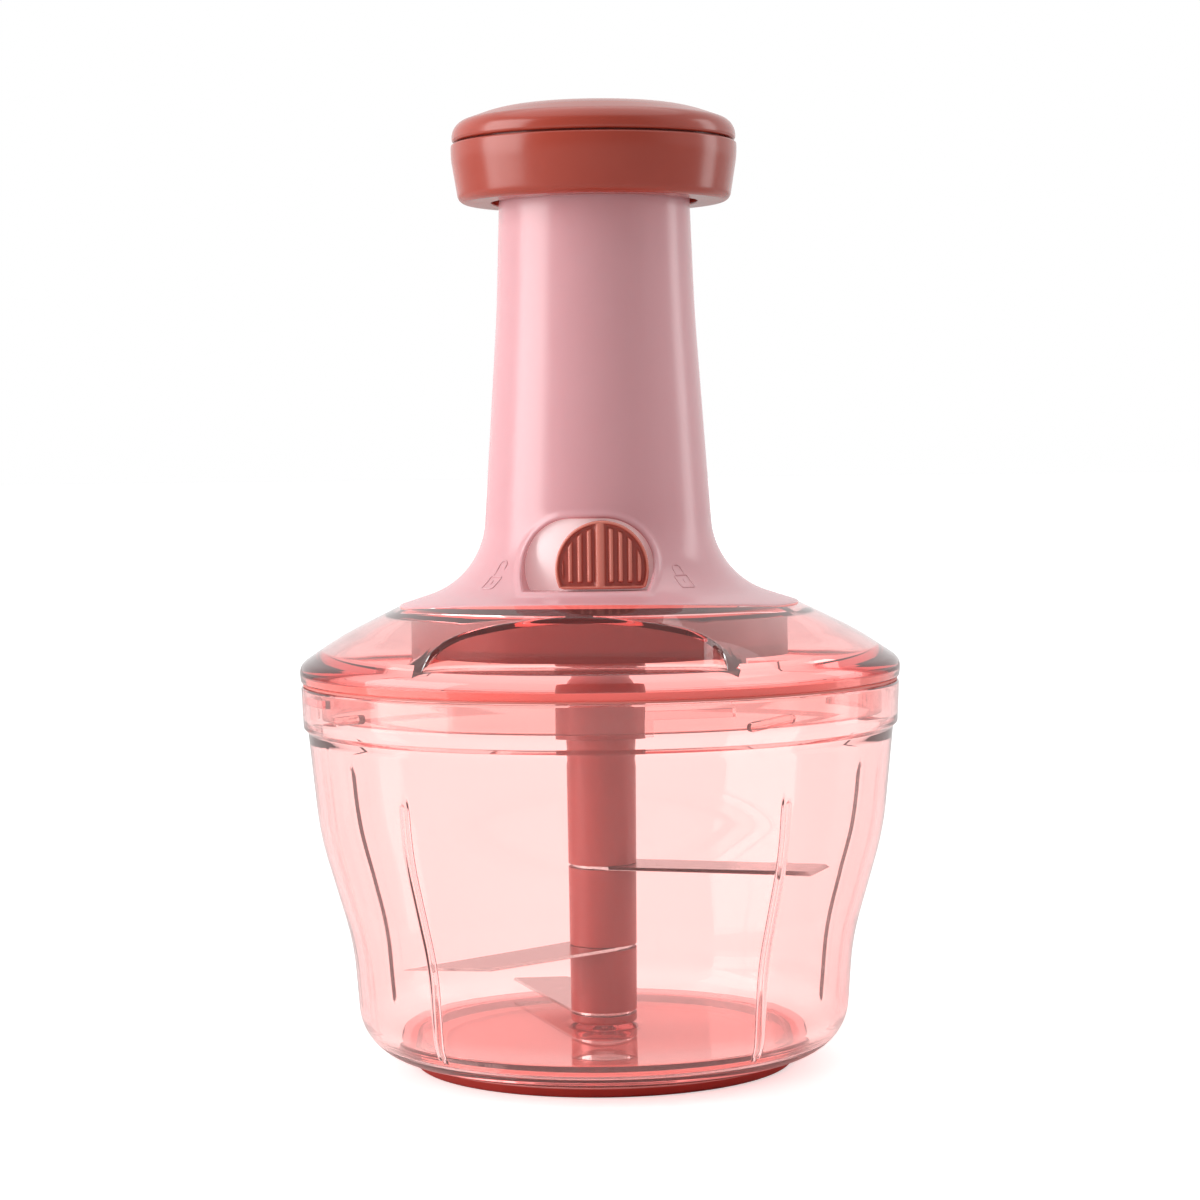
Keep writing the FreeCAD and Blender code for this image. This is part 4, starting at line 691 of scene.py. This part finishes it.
def makeLid():
    cone = roundedLine(lid["cone"], 1.2)
    inside = roundedLine(lid["coneInside"], 1.2)
    half, back, corner, wall = lid["gripHalf"], lid["gripBack"], lid["gripCorner"], lid["wall"]
    skirt, edgeIn, shelfUnder = lid["skirtIn"], lid["insideEdge"], lid["shelfUnder"]
    outerGrip = gripLine(half, back, corner, lid["gripRim"])
    innerGrip = gripLine(half + wall, back - wall, corner + wall, skirt)
    brim = [(r, z) for r, z in cone if (r > lid["gripRim"] or z < lid["gripFloor"]) and z > lid["brimFoot"]]
    under = roundedLine(lid["brim"], 1.4)
    total = len(under) - 1
    floorUnder = lid["gripFloor"] - wall
    folds = [lid["spread"] * k / 44 for k in range(-44, 45)]
    folds += [s * (lid["spread"] + 53 * k / 27) for s in (-1, 1) for k in range(1, 27)] + [-90.0]
    rows = []
    for turn in sorted(f + h for f in folds for h in (0, 180)):
        row, wideOut, wideIn, inGrip, share, fold, place = lidLine(turn, outerGrip, cone)
        row += [place(*spot(r, wideOut, z)) for r, z in brim]
        for k, (r, z) in enumerate(under):
            row.append(place(*spot(r, wideOut + (wideIn - wideOut) * ease(k / total), z)))
        if inGrip:
            edge = alongLine(innerGrip, share)
            rEdge = math.hypot(*edge)
            topZ = heightAt(inside, rEdge) if rEdge > edgeIn else shelfUnder
            foot = Vector((*edge, floorUnder))
            goal = Vector(spot(skirt, wideIn, floorUnder))
            row += [place(*goal.lerp(foot, t)) for t in (0.3, 0.6, 0.9, 1.0)]
            row += [place(*foot.lerp(Vector((*edge, topZ)), t)) for t in (0.1, 0.4, 0.7, 1.0)]
            start = Vector(spot(min(edgeIn, rEdge), fold, 0)[:2])
            for t in (0.2, 0.4, 0.6, 0.8, 1.0):
                flat = Vector(edge).lerp(start, t)
                row.append(place(*flat, heightAt(inside, flat.length) if flat.length > edgeIn else shelfUnder))
        else:
            row += [place(*spot(skirt, wideIn, floorUnder))] * 4
            for t in (0.1, 0.4, 0.7, 1.0):
                row.append(place(*spot(skirt, wideIn, floorUnder + (lid["insideFoot"] - floorUnder) * t)))
            for t in (0.2, 0.4, 0.6, 0.8, 1.0):
                r = skirt + (edgeIn - skirt) * t
                z = heightAt(inside, r) if t < 1 else shelfUnder
                row.append(place(*spot(r, wideIn + (fold - wideIn) * t, z)))
        row += [place(*spot(r, fold, shelfUnder)) for r in (46.0, 42.0, lid["bore"])]
        rows.append(row)
    sheets = [{"rows": rows, "loopRows": True, "loopPoints": True}]
    sheets += [bayonetLug(lid["lugAt"] + 90 * k) for k in range(4)]
    addPiece("lidShell", sheets, "clear_pink", "head", ["lid_cover"], edgeAt=lidEdge)


makeLid()
print("stage 4: bowl and lid made")

# neck: turned line with an oval foot; a patch at the front is left out for the window of the lock
neck = {
    "outer": [(51.4, 118.6), (30.1, 125.5, 21), (25.5, 193, 400), (24.3, 227.4, 0.6), (23.7, 228.0)],
    "bore": 22.0, "foot": 118.03, "hollow": 43.0, "hollowTop": 121.0, "top": 228.0, "topFrom": 226.6, "footRim": 51.3,
    "windowHalf": 16.4, "windowFoot": 122.95, "windowTop": 140.9, "windowMiddle": 128.5, "windowArch": 12.4,
    "patchTurn": 48.0, "patchFoot": 121.6, "patchTop": 145.4, "patchRows": 35,
    "sleeve": 28.4, "lipHigh": 0.5, "lipWide": 2.6,
}
neckLine = roundedLine(neck["outer"], 0.5, 2.0)


def onNeck(x, z, proud=0.0):    # front point of the neck straight behind (x, z)
    r = radiusAt(neckLine, z)
    slope = (radiusAt(neckLine, z + 0.2) - radiusAt(neckLine, z - 0.2)) / 0.4
    size = math.hypot(1, slope)
    side = math.asin(max(-1.0, min(1.0, x / r)))
    r, z = r + proud / size, z - proud * slope / size
    return (r * math.sin(side), -r * math.cos(side), z)


def windowAt(angle, line, middle):      # where a ray from the window's middle meets its outline
    ray = Vector((math.cos(angle), math.sin(angle)))
    for p, q in zip(line, line[1:]):
        a, b = Vector(p) - middle, Vector(q) - middle
        gap = b - a
        bottom = ray.x * gap.y - ray.y * gap.x
        if abs(bottom) < 1e-9:
            continue
        far = (a.x * gap.y - a.y * gap.x) / bottom
        along = (a.x * ray.y - a.y * ray.x) / bottom
        if far > 0 and -1e-6 <= along <= 1 + 1e-6:
            return middle + ray * far
    return middle


def windowEdge(x, y, z, normal):        # underside of the foot and floor of the window, both given finishes of painted light
    r = math.hypot(x, y)
    if z < 118.4 and r > 40 or z < 120.6 and r > 43 and abs(normal.z) < 0.3:
        return "_deep"
    return "_edge" if y < 0 and r < neck["sleeve"] + 0.05 and 122 < z < 142 and abs(x) < 17 else ""


def inSleeve(x, z):             # front point of the window's floor straight behind (x, z)
    return (x, -math.sqrt(neck["sleeve"] ** 2 - x * x), z)


def windowLine():               # arch on a flat foot, as (x, z) from the middle of the foot round
    big, foot, middle = neck["windowArch"], neck["windowFoot"], neck["windowMiddle"]
    reach = neck["windowHalf"] - big
    dip = math.asin((middle - foot) / big)
    arc = [-dip + (math.pi / 2 + dip) * k / 40 for k in range(41)]
    right = [(reach + big * math.cos(w), middle + big * math.sin(w)) for w in arc]
    return [(0, foot)] + right + [(-x, z) for x, z in reversed(right)] + [(0, foot)]


def besideWindow(flat, edge):   # way from the window's edge to the patch's rim, its length, the lip's width there
    away = flat - edge
    return away.normalized(), away.length, min(neck["lipWide"], away.length * 0.9)


def makeNeck():
    turns = [k * 2.5 for k in range(20, 124)]
    turns += [360 - neck["patchTurn"] + 1.2 * k for k in range(81)]
    turns = sorted(a if a <= 180 else a - 360 for a in turns)
    turns = [a for i, a in enumerate(turns) if i == 0 or a - turns[i - 1] > 0.3]
    bore, foot, hollow, topFrom = neck["bore"], neck["foot"], neck["hollow"], neck["topFrom"]
    heights = [neck["patchFoot"] + 0.7 * k for k in range(neck["patchRows"])]
    heights += [neck["patchTop"] + 3.0 * k for k in range(1, 27)] + [topFrom]
    rows = []
    edgeR = radiusAt(neckLine, neck["patchFoot"])
    top = roundedLine([(radiusAt(neckLine, topFrom), topFrom), (24.3, neck["top"], 0.7), (bore, neck["top"])], 0.6)
    for a in turns:
        rim = min(neck["footRim"], ovalAt(a) - 0.05)
        row = [spot(bore, a, foot + 3), spot(hollow - 1, a, neck["hollowTop"] - 0.6), spot(hollow - 0.4, a, foot)]
        crest = heightAt(neckLine, rim)
        row += [spot(rim, a, foot), spot(rim, a, crest - 0.25)]
        row += [spot(rim - 0.06, a, crest - 0.07), spot(rim - 0.25, a, heightAt(neckLine, rim - 0.25))]
        for t in (0.15, 0.3, 0.45, 0.6, 0.75, 0.9):
            r = rim - 0.25 + (edgeR - rim + 0.25) * t
            row.append(spot(r, a, heightAt(neckLine, r)))
        first = len(row)        # the patch begins here
        row += [spot(radiusAt(neckLine, z), a, z) for z in heights]
        row += [spot(r, a, z) for r, z in top[1:]]
        row += [spot(bore, a, z) for z in (200.0, 160.0)]
        rows.append(row)
    low = min(i for i, a in enumerate(turns) if a > -neck["patchTurn"] - 0.1)
    high = max(i for i, a in enumerate(turns) if a < neck["patchTurn"] + 0.1)
    last = first + neck["patchRows"] - 1
    skip = lambda i, j: low <= i < high and first <= j < last
    loop = [(i, first) for i in range(low, high)] + [(high, j) for j in range(first, last)]
    loop += [(i, last) for i in range(high, low, -1)] + [(low, j) for j in range(last, first, -1)]
    middle = Vector((0, (neck["windowFoot"] + neck["windowTop"]) / 2 - 0.6))
    outline = windowLine()
    pairs = []                  # each point of the patch's rim, and the point of the window's edge that faces it
    for i, j in loop:
        flat = Vector((rows[i][j][0], rows[i][j][2]))
        away = flat - middle
        pairs.append((flat, windowAt(math.atan2(away.y, away.x), outline, middle)))
    rings = [[rows[i][j] for i, j in loop]]
    beside = [(edge, *besideWindow(flat, edge)) for flat, edge in pairs]
    for share in (0.66, 0.33, 0.0):
        rings.append([onNeck(*(edge + way * (wide + (far - wide) * share))) for edge, way, far, wide in beside])
    for share, rise in ((0.75, 0.08), (0.55, 0.3), (0.38, 0.46), (0.24, 0.5), (0.12, 0.42), (0.04, 0.24), (0.0, 0.0)):
        proud = rise * neck["lipHigh"] / 0.5
        rings.append([onNeck(*(edge + way * wide * share), proud=proud) for edge, way, far, wide in beside])
    for share in (0.1, 0.5, 1.0):
        rings.append([tuple(Vector(onNeck(*edge)).lerp(Vector(inSleeve(*edge)), share)) for flat, edge in pairs])
    for share in (0.95, 0.8, 0.6, 0.4, 0.2, 0.0):
        rings.append([inSleeve(*(middle + (edge - middle) * share)) for flat, edge in pairs])
    body = {"rows": rows, "loopRows": True, "loopPoints": True, "skip": skip}
    addPiece("neckShell", [body, {"rows": rings, "loopPoints": True}], "pale_pink_plastic", "head", ["neck_housing"],
             edgeAt=windowEdge)


makeNeck()

# lock marks: plain open and closed padlock in thin raised lines
mark = {
    "openAt": -41.5, "shutAt": 41.0, "openLift": 1.3, "foot": 123.6, "wide": 4.0, "bodyTall": 2.9, "bowTall": 2.9,
    "bowWide": 0.62, "bodyRound": 0.5, "line": 0.2, "proud": 0.02,
}


def raisedLine(points, thick):  # a thin round bead along points
    rows = []
    for i, p in enumerate(points):
        here = Vector(p)
        on = (Vector(points[min(i + 1, len(points) - 1)]) - Vector(points[max(i - 1, 0)])).normalized()
        out = Vector((here.x, here.y, 0)).normalized()
        side = on.cross(out).normalized()
        up = side.cross(on).normalized()
        size = thick * (0.35 if i in (0, len(points) - 1) else 1.0)
        angles = [2 * math.pi * k / 8 for k in range(8)]
        rows.append([tuple(here + side * size * math.cos(w) + up * size * math.sin(w)) for w in angles])
    return {"rows": [[tuple(points[0])] * 8] + rows + [[tuple(points[-1])] * 8], "loopPoints": True}


def onNeckAt(azimuth, s, z):    # s mm to the side of an azimuth
    r = radiusAt(neckLine, z) + mark["proud"]
    return spot(r, azimuth + math.degrees(s / r), z)


def makeMark(name, at, lift):
    half, tall, soft, wide = mark["wide"] / 2, mark["bodyTall"], mark["bodyRound"], mark["bowWide"]
    corners = [(0, 0), (half, 0, soft), (half, tall, soft), (-half, tall, soft), (-half, 0, soft), (0.01, 0)]
    bow = [(-half * wide, tall + 0.05)]
    for w in (math.pi * k / 14 for k in range(15)):
        bow.append((-half * wide * math.cos(w), tall + mark["bowTall"] * 0.45 + lift + half * wide * math.sin(w)))
    bow += [(half * wide, tall + (lift * 1.2 + 0.1 if lift else 0.05))]
    keyhole = [(0, tall * 0.35), (0, tall * 0.5), (0, tall * 0.68)]
    sheets = []
    for line in (roundedLine(corners, 0.25, 12), bow, keyhole):
        sheets.append(raisedLine([onNeckAt(at, s, mark["foot"] + v) for s, v in line], mark["line"]))
    addPiece(name, sheets, "pale_pink_plastic", "head")


makeMark("openLockMark", mark["openAt"], mark["openLift"])
makeMark("shutLockMark", mark["shutAt"], 0.0)

# lock slider: disc cut off at its foot, with a border and upright ribs, the middle one wide
slider = {
    "at": 7.0, "radius": 12.0, "middle": 128.4, "foot": 123.45, "footRound": 1.2, "back": 28.95, "front": 34.0,
    "edgeRound": 0.45, "border": 0.55, "recess": 0.95, "ribGap": 2.42, "ribShift": -0.5, "ribSpare": 0.35,
    "ribHalf": 0.62, "wideHalf": 1.3, "ribTall": 0.92, "ribEnd": 1.55, "across": 150, "upright": 64,
}


def sliderRibs():               # middle and half width of each
    ribs = []
    for k in range(-4, 5):
        spare = slider["ribSpare"] if k > 0 else -slider["ribSpare"] if k < 0 else 0
        half = slider["ribHalf"] if k else slider["wideHalf"]
        ribs.append((slider["ribShift"] + slider["ribGap"] * k + spare, half))
    return ribs


def sliderDepth(s, edge, ribs):     # how far the face lies below the front, edge mm inside the outline
    soft, recess = slider["edgeRound"], slider["recess"]
    h = -soft * (1 - math.sqrt(max(0.0, 1 - (1 - min(1.0, edge / soft)) ** 2)))
    h -= recess * ease((edge - slider["border"]) / 0.35)
    for middle, half in ribs:
        narrow = half < 1
        reach = ease((edge - slider["ribEnd"]) / 0.45) if narrow else ease(edge / 0.5)
        away = abs(s - middle) / half
        if away < 1 and reach > 0:
            h = max(h, -recess + slider["ribTall"] * math.sqrt(1 - away * away) * reach * (1.0 if narrow else 1.05))
    return min(0.0, h)


def makeSlider():
    rows = []
    big, foot, center, ribs = slider["radius"], slider["foot"], slider["middle"], sliderRibs()
    corner = math.sqrt(big ** 2 - (center - foot) ** 2)
    for i in range(slider["across"] + 1):
        s = -big * math.cos(math.pi * i / slider["across"]) * 0.9999
        turn = slider["at"] + math.degrees(s / slider["front"])
        tall = math.sqrt(max(0.0, big * big - s * s))
        low, high = max(foot, center - tall), center + tall
        low += max(0.0, slider["footRound"] - abs(corner - abs(s))) * 0.35 if abs(s) < big - 0.2 else 0.0
        row = []
        for j in range(slider["upright"] + 1):
            z = low + (high - low) * (0.5 - 0.5 * math.cos(math.pi * j / slider["upright"]))
            edge = max(0.0, min(big - math.hypot(s, z - center), z - foot))
            row.append(spot(slider["front"] + sliderDepth(s, edge, ribs), turn, z))
        rows.append(row + [spot(slider["back"], turn, z) for z in (high, low)])
    # the whole button takes the finish with the painted highlight on its rib crowns
    addPiece("lockButton", [{"rows": rows, "loopPoints": True}], "terracotta_plastic", "lock", ["lock_slider"],
             sharp=48, edgeAt=lambda x, y, z, normal: "_edge")


makeSlider()
print("stage 5: neck, marks and slider made")

# knob: lower shell with a web under the domed cap, a shadow seam between them
knob = {
    "body": [(26.5, 228), (26.5, 221.3, 0.4), (34.8, 221.3, 2.4), (36.7, 233, 20), (36.65, 236.3, 0.55),
             (34.1, 236.3), (32.6, 223.5, 1), (28.7, 223.5, 1), (28.7, 233.9), (0, 233.9)],
    "web": [(0, 231.6), (26.5, 231.6)],
    "cap": [(34.3, 236.8), (36.4, 236.8, 0.9), (36.45, 241.3, 4.6), (24, 245.7, 34), (0, 246.2)],
    "under": [(0, 244.2), (23, 243.5, 32), (32, 240.3, 2.7), (32, 234.2), (33.8, 234.2), (33.8, 236.8)],
}


def makeKnob():
    body = roundedLine(knob["body"], 1.0, 6.0) + roundedLine(knob["web"], 2.0)
    cap = roundedLine(knob["cap"], 1.0, 6.0) + roundedLine(knob["under"], 1.4, 12.0)
    addPiece("knobBody", [ring(body)], "terracotta_plastic", "plunger", ["knob_body"], sharp=42)
    addPiece("knobCap", [ring(cap)], "terracotta_plastic", "plunger", ["knob_cap"], sharp=42)


makeKnob()
print("stage 6: knob made")

# blades: strip with a round eye, ground on one side and at the tip
blade = {"thick": 0.8, "lift": 0.1, "half": 8.25, "hub": 7.7, "ground": 2.6, "tipGround": 1.2, "edge": 0.12}


# cuts: how far each corner stands back from the tip
def makeBlade(name, node, height, azimuth, reach, leftCut, rightCut):
    half = blade["half"]
    outline = [(-half, -4.0), (-half, -(reach - leftCut)), (half, -(reach - rightCut)), (half, -4.0)]
    angles = [math.pi * k / 24 for k in range(25)]
    outline += [(blade["hub"] * math.cos(w), blade["hub"] * math.sin(w)) for w in angles]
    base, top = height + blade["lift"], height + blade["lift"] + blade["thick"]
    inner = []
    for x, y in outline:
        inner.append((max(x, -half + blade["ground"]) if y < -9 else x, y + (blade["tipGround"] if y < -45 else 0)))
    soft = [(x * 0.997, y * 0.999) for x, y in outline]
    turned = lambda x, y, z: spot(math.hypot(x, y), azimuth + math.degrees(math.atan2(x, -y)), z)
    rings = [[turned(0, -20, base)] * len(outline), [turned(x, y, base) for x, y in soft]]
    rings += [[turned(x, y, base + blade["edge"]) for x, y in outline], [turned(x, y, top) for x, y in inner]]
    rings += [[turned(0, -20, top)] * len(outline)]
    addPiece(name, [{"rows": rings, "loopPoints": True}], "blade_steel", "blades", [node], sharp=4)


makeBlade("lowerBlade", "blade_lower", 12.2, -156.0, 54.5, 3.0, 0.0)
makeBlade("middleBlade", "blade_middle", 29.5, -42.0, 58.8, 0.0, 13.5)
makeBlade("upperBlade", "blade_upper", 50.3, 79.0, 58.2, 1.6, 0.0)
print("stage 7: blades made")
